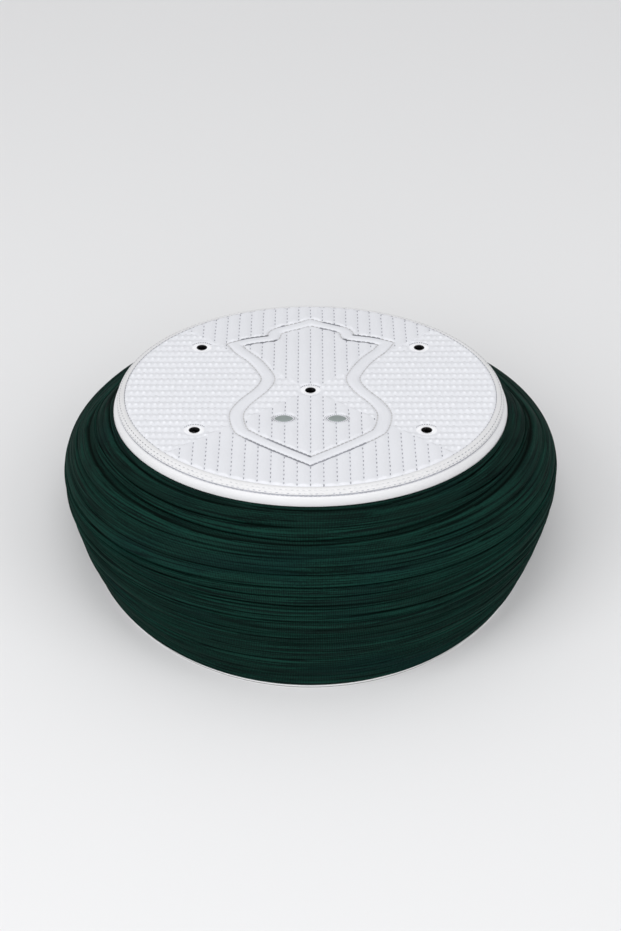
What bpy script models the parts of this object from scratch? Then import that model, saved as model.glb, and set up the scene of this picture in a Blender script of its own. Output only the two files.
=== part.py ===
"""A ready-wound turban: a white quilted cap with a long green cloth pleated and wound round it.

Metres, +Z up. The turban stands on its hem at z = 0, and its higher front faces -Y.
Heights above the hem are kept by the slanting top: every ring between the foot and the crown
leans from the flat foot towards the plane of the cloth's top edge.
"""

import math

import bmesh
import bpy
import numpy as np
from mathutils import Vector
from mathutils.geometry import delaunay_2d_cdt

MM = 0.001

# Gap kept between pieces that touch
CLEARANCE = 0.3 * MM

# Wall of the cap, outer sizes
FOOT_HALF_WIDTH = 86.0 * MM
FOOT_HALF_DEPTH = 102.2 * MM
SEAM_HALF_WIDTH = 75.6 * MM
SEAM_HALF_DEPTH = 78.3 * MM
WALL_THICKNESS = 2.2 * MM
RIM_HEIGHT = 4.1 * MM

# Slanting top edge of the cloth: its height midway, and how far the front stands above that
CLOTH_HEIGHT = 56.1 * MM
FRONT_RISE = 9.8 * MM

# Hem round the foot of the wall
HEM_HEIGHT = 2.2 * MM
HEM_OVERHANG = 2.0 * MM
HEM_CHAMFER = 0.6 * MM

# Wound cloth: how far it stands out from the wall at its foot, its top edge and its fullest turn
CLOTH_FOOT_OVERHANG = 3.1 * MM
CLOTH_TOP_OVERHANG = 1.6 * MM
CLOTH_BULGE = 14.9 * MM
FOLD_DEPTH = 1.1 * MM

# Crown: quilted panel and the band bound round its edge
PANEL_THICKNESS = 2.1 * MM
BINDING_WIDTH = 2.9 * MM
QUILT_PITCH = 4.88 * MM
QUILT_RISE = 0.35 * MM

# Sandal-shaped motif: a smooth padded band, seen from above. The skew is how much further back
# its right back corner lies than the half-way line between its two back corners.
MOTIF_HALF_WIDTH = 34.0 * MM
MOTIF_BACK_REACH = 63.8 * MM
MOTIF_FRONT_REACH = 60.0 * MM
MOTIF_SKEW = 0.9 * MM
MOTIF_BAND_WIDTH = 5.4 * MM
MOTIF_BAND_RISE = 0.6 * MM

# Thread-worked eyelets in the vent holes
EYELET_BORE_RADIUS = 2.0 * MM
EYELET_WALL = 0.7 * MM
EYELET_FLANGE_RADIUS = 4.0 * MM
EYELET_FLANGE_THICKNESS = 0.5 * MM
EYELET_SIDE_REACH = 44.0 * MM
EYELET_BACK_REACH = 37.2 * MM
EYELET_FRONT_REACH = 32.5 * MM

# Pointed grey ovals inside the motif
OVAL_HALF_WIDTH = 3.9 * MM
OVAL_HALF_DEPTH = 2.8 * MM
OVAL_THICKNESS = 0.6 * MM
OVAL_SIDE_REACH = 10.2 * MM
OVAL_FORWARD = 23.4 * MM

# Mesh fineness
STATIONS = 64
EYELET_SIDES = 12
BINDING_STEPS = 3
OVAL_STEPS = 7
MOTIF_STEP = 6.0 * MM
QUILT_STEP = 11.0 * MM
LINE_MARGIN = 1.0 * MM
SMOOTH_ANGLE = math.radians(38)

# Places that follow from the sizes above
FOOT_LEVEL = HEM_HEIGHT + CLEARANCE
BINDING_RISE = PANEL_THICKNESS + CLEARANCE
PANEL_HALF_WIDTH = SEAM_HALF_WIDTH - BINDING_WIDTH - CLEARANCE
PANEL_HALF_DEPTH = SEAM_HALF_DEPTH - BINDING_WIDTH - CLEARANCE
VENT_RADIUS = EYELET_BORE_RADIUS + EYELET_WALL + CLEARANCE

# Fullness of the cloth: share of its height, share of its bulge
CLOTH_SHAPE = [
    (0.0, 0.0),
    (0.1, 0.236),
    (0.2, 0.458),
    (0.4, 0.838),
    (0.5, 0.956),
    (0.6, 0.995),
    (0.7, 0.911),
    (0.8, 0.711),
    (0.9, 0.405),
    (1.0, 0.0),
]

# Creases between the turns of the cloth: share of its height at the front and back,
# droop towards the sides as a share of its height, share of the fold depth
CREASES = [
    (0.075, 0.010, 0.8),
    (0.160, 0.035, 1.0),
    (0.250, 0.050, 0.8),
    (0.345, 0.070, 1.0),
    (0.445, 0.075, 0.8),
    (0.561, 0.080, 1.0),
    (0.669, 0.085, 0.8),
    (0.730, 0.075, 1.0),
    (0.804, 0.050, 0.9),
    (0.883, 0.030, 0.8),
    (0.934, 0.010, 0.7),
    (0.977, 0.000, 0.5),
]

# Section of one turn: share of the way up from its lower crease, share of the crease left there
TURN_SECTION = [
    (0.22, 0.0),
    (0.65, 0.15),
]

# Right half of the motif's outer line, from its back point to its front point:
# share of the half width, share of the reach (back positive, front negative), sharp corner or not
MOTIF_OUTLINE = [
    (0.000, 1.000, True),
    (0.150, 0.948, False),
    (0.300, 0.905, False),
    (0.430, 0.865, False),
    (0.500, 0.815, False),
    (0.522, 0.755, True),
    (0.780, 0.715, False),
    (1.000, 0.650, True),
    (0.900, 0.525, False),
    (0.730, 0.385, False),
    (0.610, 0.235, False),
    (0.575, 0.140, False),
    (0.650, 0.020, False),
    (0.830, -0.160, False),
    (0.915, -0.330, False),
    (0.860, -0.540, False),
    (0.730, -0.645, False),
    (0.420, -0.805, False),
    (0.000, -1.000, True),
]

# Centres of the eyelets: name, place across and place along the crown
EYELETS = [
    ("eyelet_centre", 0.0, 0.0),
    ("eyelet_front_left", -EYELET_SIDE_REACH, -EYELET_FRONT_REACH),
    ("eyelet_front_right", EYELET_SIDE_REACH, -EYELET_FRONT_REACH),
    ("eyelet_back_left", -EYELET_SIDE_REACH, EYELET_BACK_REACH),
    ("eyelet_back_right", EYELET_SIDE_REACH, EYELET_BACK_REACH),
]

# Centres of the grey ovals
OVALS = [
    ("oval_left", -OVAL_SIDE_REACH, -OVAL_FORWARD),
    ("oval_right", OVAL_SIDE_REACH, -OVAL_FORWARD),
]

# Finishes: colour, roughness
FINISHES = {
    "quilted_white": ((0.80, 0.81, 0.84), 0.75),
    "band_white": ((0.84, 0.84, 0.86), 0.70),
    "thread_white": ((0.88, 0.88, 0.89), 0.60),
    "cloth_green": ((0.006, 0.045, 0.034), 0.80),
    "oval_grey": ((0.24, 0.30, 0.29), 0.65),
}


def finish(name, kind):
    """Material of one piece, in one of the finishes."""
    colour, roughness = FINISHES[kind]
    material = bpy.data.materials.new(name)
    material.use_nodes = True
    shader = material.node_tree.nodes["Principled BSDF"]
    shader.inputs["Base Color"].default_value = (*colour, 1.0)
    shader.inputs["Roughness"].default_value = roughness
    shader.inputs["Metallic"].default_value = 0.0
    material.diffuse_color = (*colour, 1.0)
    return material


def place(name, kind, bm, seat):
    """Object from a finished bmesh, with its origin on the seat point."""
    bmesh.ops.recalc_face_normals(bm, faces=bm.faces)
    bmesh.ops.triangulate(bm, faces=bm.faces, quad_method="SHORT_EDGE")
    bmesh.ops.translate(bm, vec=-seat, verts=bm.verts)
    mesh = bpy.data.meshes.new(name)
    bm.to_mesh(mesh)
    bm.free()
    mesh.materials.append(finish(name, kind))
    mesh.shade_smooth()
    mesh.set_sharp_from_angle(angle=SMOOTH_ANGLE)
    obj = bpy.data.objects.new(name, mesh)
    obj.location = seat
    bpy.context.collection.objects.link(obj)


def angles(count):
    """Evenly spaced angles once round."""
    return [2 * math.pi * i / count for i in range(count)]


def mix(low, high, share):
    """Value a share of the way from low to high."""
    return low + (high - low) * share


def top_plane(y):
    """Height of the slanting plane that the cloth's top edge lies in."""
    return CLOTH_HEIGHT - FRONT_RISE * y / SEAM_HALF_DEPTH


def crown_level(y):
    """Height of the crown's flat upper face, without its quilting."""
    return top_plane(y) + RIM_HEIGHT + BINDING_RISE


def smooth_value(rows, at):
    """Value of a table's second column at a place in its first, on a smooth curve."""
    xs = [row[0] for row in rows]
    ys = [row[1] for row in rows]
    last = len(rows) - 1
    i = max(0, min(last - 1, sum(1 for x in xs if x <= at) - 1))
    slopes = []
    for k in (i, i + 1):
        before, after = max(0, k - 1), min(last, k + 1)
        slopes.append((ys[after] - ys[before]) / (xs[after] - xs[before]))
    span = xs[i + 1] - xs[i]
    t = (at - xs[i]) / span
    start = (2 * t**3 - 3 * t**2 + 1) * ys[i] + (t**3 - 2 * t**2 + t) * span * slopes[0]
    end = (3 * t**2 - 2 * t**3) * ys[i + 1] + (t**3 - t**2) * span * slopes[1]
    return start + end


def oval_ring(half_width, half_depth, height):
    """Points once round an oval; height is worked out from each point's place."""
    ring = []
    for angle in angles(STATIONS):
        x = half_width * math.cos(angle)
        y = half_depth * math.sin(angle)
        ring.append(Vector((x, y, height(y))))
    return ring


def ring_solid(rings):
    """Closed ring through a list of rings, the last of which meets the first."""
    bm = bmesh.new()
    loops = [[bm.verts.new(point) for point in ring] for ring in rings]
    count = len(loops[0])
    for low, high in zip(loops, loops[1:] + loops[:1]):
        for i in range(count):
            j = (i + 1) % count
            bm.faces.new((low[i], low[j], high[j], high[i]))
    return bm


def wall_ring(share, outset, lift=0.0):
    """Ring on the cap's wall: share of the way up to the cloth's top edge, moved outwards and up."""
    return oval_ring(
        mix(FOOT_HALF_WIDTH, SEAM_HALF_WIDTH, share) + outset,
        mix(FOOT_HALF_DEPTH, SEAM_HALF_DEPTH, share) + outset,
        lambda y: mix(FOOT_LEVEL, top_plane(y), share) + lift,
    )


def side_band():
    """Oval wall of the cap, from the hem up to the crown seam."""
    top = RIM_HEIGHT - CLEARANCE
    rings = [
        wall_ring(0, 0),
        wall_ring(1, 0),
        wall_ring(1, 0, top),
        wall_ring(1, -WALL_THICKNESS, top),
        wall_ring(1, -WALL_THICKNESS),
        wall_ring(0, -WALL_THICKNESS),
    ]
    place("side_band", "band_white", ring_solid(rings), Vector((0, 0, FOOT_LEVEL)))


def bottom_hem():
    """Folded hem that the wall and the foot of the cloth stand on."""
    section = [
        (-WALL_THICKNESS, 0),
        (-WALL_THICKNESS, HEM_HEIGHT),
        (HEM_OVERHANG - HEM_CHAMFER, HEM_HEIGHT),
        (HEM_OVERHANG, HEM_HEIGHT - HEM_CHAMFER),
        (HEM_OVERHANG, HEM_CHAMFER),
        (HEM_OVERHANG - HEM_CHAMFER, 0),
    ]
    rings = []
    for outset, level in section:
        half_width = FOOT_HALF_WIDTH + outset
        half_depth = FOOT_HALF_DEPTH + outset
        rings.append(oval_ring(half_width, half_depth, lambda y, level=level: level))
    place("bottom_hem", "band_white", ring_solid(rings), Vector((0, 0, 0)))


def cloth_skin(share, angle):
    """Point on the smooth outer form of the wound cloth."""
    overhang = mix(CLOTH_FOOT_OVERHANG, CLOTH_TOP_OVERHANG, share)
    outset = overhang + CLOTH_BULGE * smooth_value(CLOTH_SHAPE, share)
    x = (mix(FOOT_HALF_WIDTH, SEAM_HALF_WIDTH, share) + outset) * math.cos(angle)
    y = (mix(FOOT_HALF_DEPTH, SEAM_HALF_DEPTH, share) + outset) * math.sin(angle)
    return Vector((x, y, mix(FOOT_LEVEL, top_plane(y), share)))


def cloth_point(share, angle, sink):
    """Point of the wound cloth, sunk below its smooth form along the normal."""
    step = 0.01
    here = cloth_skin(share, angle)
    up = cloth_skin(min(share + step, 1), angle) - cloth_skin(max(share - step, 0), angle)
    round_about = cloth_skin(share, angle + step) - cloth_skin(share, angle - step)
    return here - round_about.cross(up).normalized() * sink


def crease_share(crease, angle):
    """Place of a crease at one angle: highest at the front and back, drooping at the sides."""
    level, droop, _ = crease
    return level - droop * math.cos(angle) ** 2


def wound_cloth():
    """Long cloth wound round the wall in turns that meet in creases."""
    foot = (0.0, 0.0, 0.0)
    top = (1.0, 0.0, 0.0)
    creases = [foot] + CREASES + [top]
    rings = []
    for lower, upper in zip(creases, creases[1:]):
        for way_up, left_over in [(0.0, 1.0)] + TURN_SECTION:
            depth = FOLD_DEPTH * mix(lower[2], upper[2], way_up) * left_over
            ring = []
            for angle in angles(STATIONS):
                share = mix(crease_share(lower, angle), crease_share(upper, angle), way_up)
                ring.append(cloth_point(share, angle, depth))
            rings.append(ring)
    rings.append([cloth_point(1.0, angle, 0.0) for angle in angles(STATIONS)])
    rings.append(wall_ring(1, CLEARANCE))
    rings.append(wall_ring(0, CLEARANCE))
    place("wound_cloth", "cloth_green", ring_solid(rings), Vector((0, 0, FOOT_LEVEL)))


def edge_binding():
    """Band bound round the crown panel's edge, rolled over from the panel down to the seam."""
    section = [(-BINDING_WIDTH, 0.0), (0.0, 0.0)]
    for i in range(1, BINDING_STEPS + 1):
        turn = math.pi / 2 * i / BINDING_STEPS
        section.append((BINDING_WIDTH * (math.cos(turn) - 1), BINDING_RISE * math.sin(turn)))
    rings = [wall_ring(1, outset, RIM_HEIGHT + rise) for outset, rise in section]
    seat = Vector((0, 0, CLOTH_HEIGHT + RIM_HEIGHT))
    place("edge_binding", "band_white", ring_solid(rings), seat)


def curve_through(points, step):
    """Points of a smooth curve through the given ones, about a step apart."""
    ends = [points[0] * 2 - points[1]] + points + [points[-1] * 2 - points[-2]]
    out = []
    for i in range(len(points) - 1):
        before, start, stop, after = ends[i : i + 4]
        count = max(1, round((stop - start).length / step))
        for k in range(count):
            t = k / count
            bend = 2 * before - 5 * start + 4 * stop - after
            turn = 3 * start - before - 3 * stop + after
            out.append((2 * start + (stop - before) * t + bend * t**2 + turn * t**3) / 2)
    return out


def motif_line(inset):
    """Closed line of the motif seen from above, a distance inside its outer line."""
    rows = []
    for across, along, sharp in MOTIF_OUTLINE:
        reach = MOTIF_BACK_REACH if along > 0 else MOTIF_FRONT_REACH
        rows.append((Vector((across * MOTIF_HALF_WIDTH, along * reach)), sharp))
    half = []
    run = [rows[0][0]]
    for point, sharp in rows[1:]:
        run.append(point)
        if sharp:
            half += curve_through(run, MOTIF_STEP)
            run = [point]
    mirrored = [Vector((-point.x, point.y)) for point in half[:0:-1]]
    line = half + [rows[-1][0]] + mirrored
    for point in line:
        point.y += MOTIF_SKEW * point.x / MOTIF_HALF_WIDTH * max(0.0, point.y / MOTIF_BACK_REACH)
    moved = []
    for i, point in enumerate(line):
        back = (point - line[i - 1]).normalized()
        ahead = (line[(i + 1) % len(line)] - point).normalized()
        mitre = (back + ahead).normalized()
        inward = Vector((mitre.y, -mitre.x))
        stretch = max(0.5, inward.dot(Vector((ahead.y, -ahead.x))))
        moved.append(point + inward * inset / stretch)
    return moved


def circle(centre_x, centre_y, radius):
    """Corners of a vent hole or an eyelet, seen from above."""
    turns = angles(EYELET_SIDES)
    return [Vector((centre_x + radius * math.cos(a), centre_y + radius * math.sin(a))) for a in turns]


def oval_outline(centre_x, centre_y, margin=0.0):
    """Corners of a pointed oval, two arcs that meet at its ends, with a margin round it."""
    half_width = OVAL_HALF_WIDTH + margin
    half_depth = OVAL_HALF_DEPTH + margin
    radius = (half_width**2 + half_depth**2) / (2 * half_depth)
    sweep = math.asin(min(1.0, half_width / radius))
    points = []
    for side in (1, -1):
        for k in range(OVAL_STEPS):
            turn = mix(-sweep, sweep, k / OVAL_STEPS)
            x = radius * math.sin(turn)
            y = radius * math.cos(turn) - radius + half_depth
            points.append(Vector((centre_x + side * x, centre_y + side * y)))
    return points


def distance_to_line(points, line):
    """Distance of each point to a closed line, both seen from above."""
    start = np.array([p[:] for p in line])
    run = np.roll(start, -1, axis=0) - start
    to_point = points[:, None, :] - start[None, :, :]
    along = (to_point * run).sum(axis=2) / (run * run).sum(axis=1)
    nearest = to_point - np.clip(along, 0, 1)[:, :, None] * run
    return np.sqrt((nearest * nearest).sum(axis=2)).min(axis=1)


def clear_of_eyelets(points):
    """Which points lie on the panel, clear of its edge and of every eyelet."""
    inner = np.array([PANEL_HALF_WIDTH - LINE_MARGIN, PANEL_HALF_DEPTH - LINE_MARGIN])
    clear = ((points / inner) ** 2).sum(axis=1) < 1
    for _, x, y in EYELETS:
        away = np.hypot(points[:, 0] - x, points[:, 1] - y)
        clear &= away > EYELET_FLANGE_RADIUS + LINE_MARGIN
    return clear


def clear_for_quilting(points, motif_lines):
    """Which points are also clear of the motif's band and of the grey ovals."""
    clear = clear_of_eyelets(points)
    outer, middle, inner = motif_lines
    for line in (outer, inner):
        clear &= distance_to_line(points, line) > LINE_MARGIN
    clear &= distance_to_line(points, middle) > MOTIF_BAND_WIDTH / 2 + LINE_MARGIN
    for _, x, y in OVALS:
        reach = np.array([OVAL_HALF_WIDTH, OVAL_HALF_DEPTH]) + LINE_MARGIN
        clear &= (((points - np.array([x, y])) / reach) ** 2).sum(axis=1) > 1
    return clear


def quilting_rays():
    """Lines of the quilting: start, direction, length and whether the line is a ridge.

    They run to and fro in the front and back quarters of the crown and from side to side
    in the left and right ones, and the quarters meet on the diagonals.
    """
    reach = max(PANEL_HALF_WIDTH, PANEL_HALF_DEPTH)
    half_pitch = QUILT_PITCH / 2
    count = int(reach / half_pitch)
    rays = []
    for n in range(-count, count + 1):
        offset = n * half_pitch
        length = reach - abs(offset)
        for side in (1, -1):
            rays.append(((offset, side * abs(offset)), (0, side), length, n % 2))
            rays.append(((side * abs(offset), offset), (side, 0), length, n % 2))
    return rays


class PanelNet:
    """Points, lines and heights that the crown panel's upper face is meshed from."""

    def __init__(self):
        self.points = []
        self.heights = []
        self.edges = []

    def add_line(self, points, height, closed):
        """Add a line at one height above the crown's plain face."""
        first = len(self.points)
        self.points += [Vector(p) for p in points]
        self.heights += [height] * len(points)
        last = len(self.points) - 1
        self.edges += [(i, i + 1) for i in range(first, last)]
        if closed:
            self.edges.append((last, first))

    def add_motif(self, line, height):
        """Add a line of the motif, broken where an eyelet or the edge is in its way."""
        clear = clear_of_eyelets(np.array([p[:] for p in line]))
        if clear.all():
            self.add_line(line, height, True)
            return
        first = int(np.argmin(clear))
        run = []
        for k in range(1, len(line) + 1):
            i = (first + k) % len(line)
            if clear[i]:
                run.append(line[i])
            elif run:
                self.add_line(run, height, False)
                run = []

    def add_quilting(self, motif_lines):
        """Add the stitched lines and the ridges between them, where nothing is in their way."""
        fine = QUILT_PITCH / 10
        for start, direction, length, ridge in quilting_rays():
            steps = np.arange(0, length, fine)
            if len(steps) < 2:
                continue
            points = np.array(start) + steps[:, None] * np.array(direction)
            clear = np.append(clear_for_quilting(points, motif_lines), False)
            begin = None
            for i, free in enumerate(clear):
                if free and begin is None:
                    begin = i
                if free or begin is None:
                    continue
                count = round((i - 1 - begin) * fine / QUILT_STEP) + 1
                picked = [points[round(mix(begin, i - 1, k / count))] for k in range(count + 1)]
                if i - 1 - begin > count:
                    self.add_line(picked, QUILT_RISE * ridge, False)
                begin = None


def meshed(bm, net, loops, level):
    """Fill a net with triangles on one face of the panel and return the corners of its loops."""
    merge_distance = 0.02 * MM
    out = delaunay_2d_cdt(net.points, net.edges, [], 0, merge_distance)
    coords, _, triangles, origins = out[0], out[1], out[2], out[3]
    verts = []
    where = {}
    for i, (point, sources) in enumerate(zip(coords, origins)):
        height = max((net.heights[k] for k in sources), default=0.0)
        verts.append(bm.verts.new((point.x, point.y, level(point.y) + height)))
        for k in sources:
            where[k] = i
    for corners in triangles:
        middle = sum((coords[i] for i in corners), Vector((0, 0))) / 3
        vents = [math.hypot(middle.x - x, middle.y - y) for _, x, y in EYELETS]
        if min(vents) > VENT_RADIUS * math.cos(math.pi / EYELET_SIDES):
            bm.faces.new([verts[i] for i in corners])
    rings = []
    first = 0
    for count in loops:
        rings.append([verts[where[k]] for k in range(first, first + count)])
        first += count
    return rings


def panel_loops():
    """Edge of the panel and of its vent holes, seen from above."""
    edge = [p.to_2d() for p in oval_ring(PANEL_HALF_WIDTH, PANEL_HALF_DEPTH, lambda y: 0)]
    return [edge] + [circle(x, y, VENT_RADIUS) for _, x, y in EYELETS]


def crown_panel():
    """Flat quilted top with vent holes and the smooth raised band of the motif."""
    loops = panel_loops()
    counts = [len(loop) for loop in loops]
    upper_net = PanelNet()
    lower_net = PanelNet()
    for loop in loops:
        upper_net.add_line(loop, 0.0, True)
        lower_net.add_line(loop, 0.0, True)
    halfway = [point / 2 for point in loops[0][::4]]
    lower_net.add_line(halfway, 0.0, True)
    motif_lines = [motif_line(share * MOTIF_BAND_WIDTH) for share in (0.0, 0.5, 1.0)]
    for line, height in zip(motif_lines, (0.0, MOTIF_BAND_RISE, 0.0)):
        upper_net.add_motif(line, height)
    for _, x, y in OVALS:
        upper_net.add_line(oval_outline(x, y, CLEARANCE), 0.0, True)
    upper_net.add_quilting(motif_lines)
    bm = bmesh.new()
    upper = meshed(bm, upper_net, counts, crown_level)
    lower = meshed(bm, lower_net, counts, lambda y: crown_level(y) - PANEL_THICKNESS)
    for high, low in zip(upper, lower):
        for i in range(len(high)):
            j = (i + 1) % len(high)
            bm.faces.new((high[i], high[j], low[j], low[i]))
    loose = [v for v in bm.verts if not v.link_faces]
    bmesh.ops.delete(bm, geom=loose, context="VERTS")
    place("crown_panel", "quilted_white", bm, Vector((0, 0, crown_level(0))))


def eyelet(name, centre_x, centre_y):
    """Thread-worked ring that lines a vent hole and spreads a flange over the panel."""
    tube = EYELET_BORE_RADIUS + EYELET_WALL
    rounding = EYELET_FLANGE_THICKNESS / 2
    top = CLEARANCE + EYELET_FLANGE_THICKNESS
    section = [
        (EYELET_BORE_RADIUS, -PANEL_THICKNESS),
        (tube, -PANEL_THICKNESS),
        (tube, CLEARANCE),
        (EYELET_FLANGE_RADIUS, CLEARANCE),
        (EYELET_FLANGE_RADIUS - rounding, top),
        (EYELET_BORE_RADIUS + rounding, top),
        (EYELET_BORE_RADIUS, CLEARANCE + rounding),
    ]
    rings = []
    for radius, lift in section:
        corners = circle(centre_x, centre_y, radius)
        rings.append([Vector((p.x, p.y, crown_level(p.y) + lift)) for p in corners])
    seat = Vector((centre_x, centre_y, crown_level(centre_y)))
    place(name, "thread_white", ring_solid(rings), seat)


def grey_oval(name, centre_x, centre_y):
    """Pointed oval patch that lies on the crown inside the motif."""
    outline = oval_outline(centre_x, centre_y)
    middle = Vector((centre_x, centre_y))
    bm = bmesh.new()
    levels = [
        (1.0, CLEARANCE),
        (1.0, CLEARANCE + OVAL_THICKNESS / 2),
        (0.75, CLEARANCE + OVAL_THICKNESS),
    ]
    loops = []
    for share, lift in levels:
        ring = [middle.lerp(p, share) for p in outline]
        loops.append([bm.verts.new((p.x, p.y, crown_level(p.y) + lift)) for p in ring])
    for low, high in zip(loops, loops[1:]):
        for i in range(len(low)):
            j = (i + 1) % len(low)
            bm.faces.new((low[i], low[j], high[j], high[i]))
    bm.faces.new(loops[0])
    bm.faces.new(loops[-1])
    seat = Vector((centre_x, centre_y, crown_level(centre_y)))
    place(name, "oval_grey", bm, seat)


def main():
    """Clear the scene and make every piece of the turban."""
    for old in list(bpy.data.objects):
        bpy.data.objects.remove(old, do_unlink=True)
    bottom_hem()
    side_band()
    wound_cloth()
    edge_binding()
    crown_panel()
    for name, x, y in EYELETS:
        eyelet(name, x, y)
    for name, x, y in OVALS:
        grey_oval(name, x, y)


main()
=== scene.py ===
"""Dressed model of a ready-wound turban.

A white quilted cap has a sandal-shaped motif on its flat, slanting crown, and a long green cloth,
finely pleated, is wound round its wall. Metres, +Z up, with the higher front towards -Y.
"""

import logging
import math
from collections.abc import Callable, Sequence
from dataclasses import dataclass, field
from enum import Enum
from typing import Any, ClassVar

import bmesh
import bpy
import numpy as np
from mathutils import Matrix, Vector
from mathutils.geometry import delaunay_2d_cdt


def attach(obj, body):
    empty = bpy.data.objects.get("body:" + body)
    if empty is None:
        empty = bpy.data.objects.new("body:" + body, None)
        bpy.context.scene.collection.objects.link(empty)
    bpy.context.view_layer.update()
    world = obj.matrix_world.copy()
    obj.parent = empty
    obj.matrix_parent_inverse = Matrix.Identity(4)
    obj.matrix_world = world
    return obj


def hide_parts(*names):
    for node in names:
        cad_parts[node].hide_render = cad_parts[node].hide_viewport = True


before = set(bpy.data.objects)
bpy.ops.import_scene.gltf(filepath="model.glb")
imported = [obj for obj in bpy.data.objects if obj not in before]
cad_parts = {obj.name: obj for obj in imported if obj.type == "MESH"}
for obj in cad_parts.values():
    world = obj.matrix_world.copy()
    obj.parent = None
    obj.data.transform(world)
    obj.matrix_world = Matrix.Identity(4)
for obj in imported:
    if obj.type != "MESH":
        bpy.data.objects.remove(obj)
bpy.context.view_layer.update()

log = logging.getLogger("turban")

Array = np.ndarray
Colour = tuple[float, float, float]

MM = 0.001
FULL_TURN = 2 * math.pi


class Slot(Enum):
    """Material slots of the record."""

    QUILTED = "quilted_white"
    BAND = "band_white"
    THREAD = "thread_white"
    CLOTH = "cloth_green"
    OVAL = "oval_grey"


class Channel(Enum):
    """Values that a mesh holds for its finish."""

    TONE = "tone"
    CREASE_SHADE = "crease_shade"
    PAINTED_LIGHT = "painted_light"


class Quarter(Enum):
    """Which way the quilting runs in a quarter of the crown."""

    FRONT_TO_BACK = 0
    SIDE_TO_SIDE = 1


def mix(low: Any, high: Any, share: Any) -> Any:
    """Value a share of the way from low to high."""
    return low + (high - low) * share


def smooth_step(value: Array, low: float, high: float) -> Array:
    """Smooth rise from 0 at low to 1 at high."""
    t = np.clip((value - low) / (high - low), 0, 1)
    return t * t * (3 - 2 * t)


def unit(vectors: Array) -> Array:
    """Vectors along the last axis, brought to length 1."""
    return vectors / np.linalg.norm(vectors, axis=-1, keepdims=True)


def waves(rng: np.random.Generator, angle: Array, orders: Sequence[int]) -> Array:
    """Smooth random curve once round, within about -1 to 1.

    Args:
        rng: Source of the random sizes and phases.
        angle: Angles round the turban.
        orders: Number of waves in a full turn, for each wave that is added.

    Returns:
        The curve's value at each angle.
    """
    total = np.zeros_like(angle)
    for order in orders:
        total += rng.uniform(0.4, 1.0) * np.sin(order * angle + rng.uniform(0, FULL_TURN))
    return total / len(orders) * 1.4


def curve_value(rows: Sequence[tuple[float, float]], at: Array) -> Array:
    """Second column of a table at places in its first, on a smooth curve.

    Args:
        rows: Rows of place and value, in rising order of place.
        at: Places to read.

    Returns:
        The curve's values.
    """
    xs = np.array([row[0] for row in rows])
    ys = np.array([row[1] for row in rows])
    last = len(rows) - 1
    before = np.maximum(np.arange(last + 1) - 1, 0)
    after = np.minimum(np.arange(last + 1) + 1, last)
    slopes = (ys[after] - ys[before]) / (xs[after] - xs[before])
    i = np.clip(np.searchsorted(xs, at, side="right") - 1, 0, last - 1)
    span = xs[i + 1] - xs[i]
    t = (at - xs[i]) / span
    start = (2 * t**3 - 3 * t**2 + 1) * ys[i] + (t**3 - 2 * t**2 + t) * span * slopes[i]
    end = (3 * t**2 - 2 * t**3) * ys[i + 1] + (t**3 - t**2) * span * slopes[i + 1]
    return start + end


class Signal:
    """A value in a material: Python's operators on it add Math nodes."""

    def __init__(self, recipe: "Recipe", socket: bpy.types.NodeSocket) -> None:
        """Wrap one output socket of a recipe's node."""
        self.recipe = recipe
        self.socket = socket

    def maths(self, operation: str, *terms: Any) -> "Signal":
        """Math node on the given terms, in their order."""
        node = self.recipe.node("ShaderNodeMath", {"operation": operation}, dict(enumerate(terms)))
        return Signal(self.recipe, node.outputs[0])

    def __add__(self, other: Any) -> "Signal":
        """Sum."""
        return self.maths("ADD", self, other)

    def __radd__(self, other: Any) -> "Signal":
        """Sum with the number first."""
        return self.maths("ADD", other, self)

    def __sub__(self, other: Any) -> "Signal":
        """Difference."""
        return self.maths("SUBTRACT", self, other)

    def __rsub__(self, other: Any) -> "Signal":
        """Difference with the number first."""
        return self.maths("SUBTRACT", other, self)

    def __mul__(self, other: Any) -> "Signal":
        """Product."""
        return self.maths("MULTIPLY", self, other)

    def __rmul__(self, other: Any) -> "Signal":
        """Product with the number first."""
        return self.maths("MULTIPLY", other, self)

    def __truediv__(self, other: Any) -> "Signal":
        """Quotient."""
        return self.maths("DIVIDE", self, other)

    def sine(self) -> "Signal":
        """Sine of the value, in radians."""
        return self.maths("SINE", self)

    def clamped(self) -> "Signal":
        """Value kept between 0 and 1."""
        return self.maths("MINIMUM", self.maths("MAXIMUM", self, 0.0), 1.0)


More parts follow.
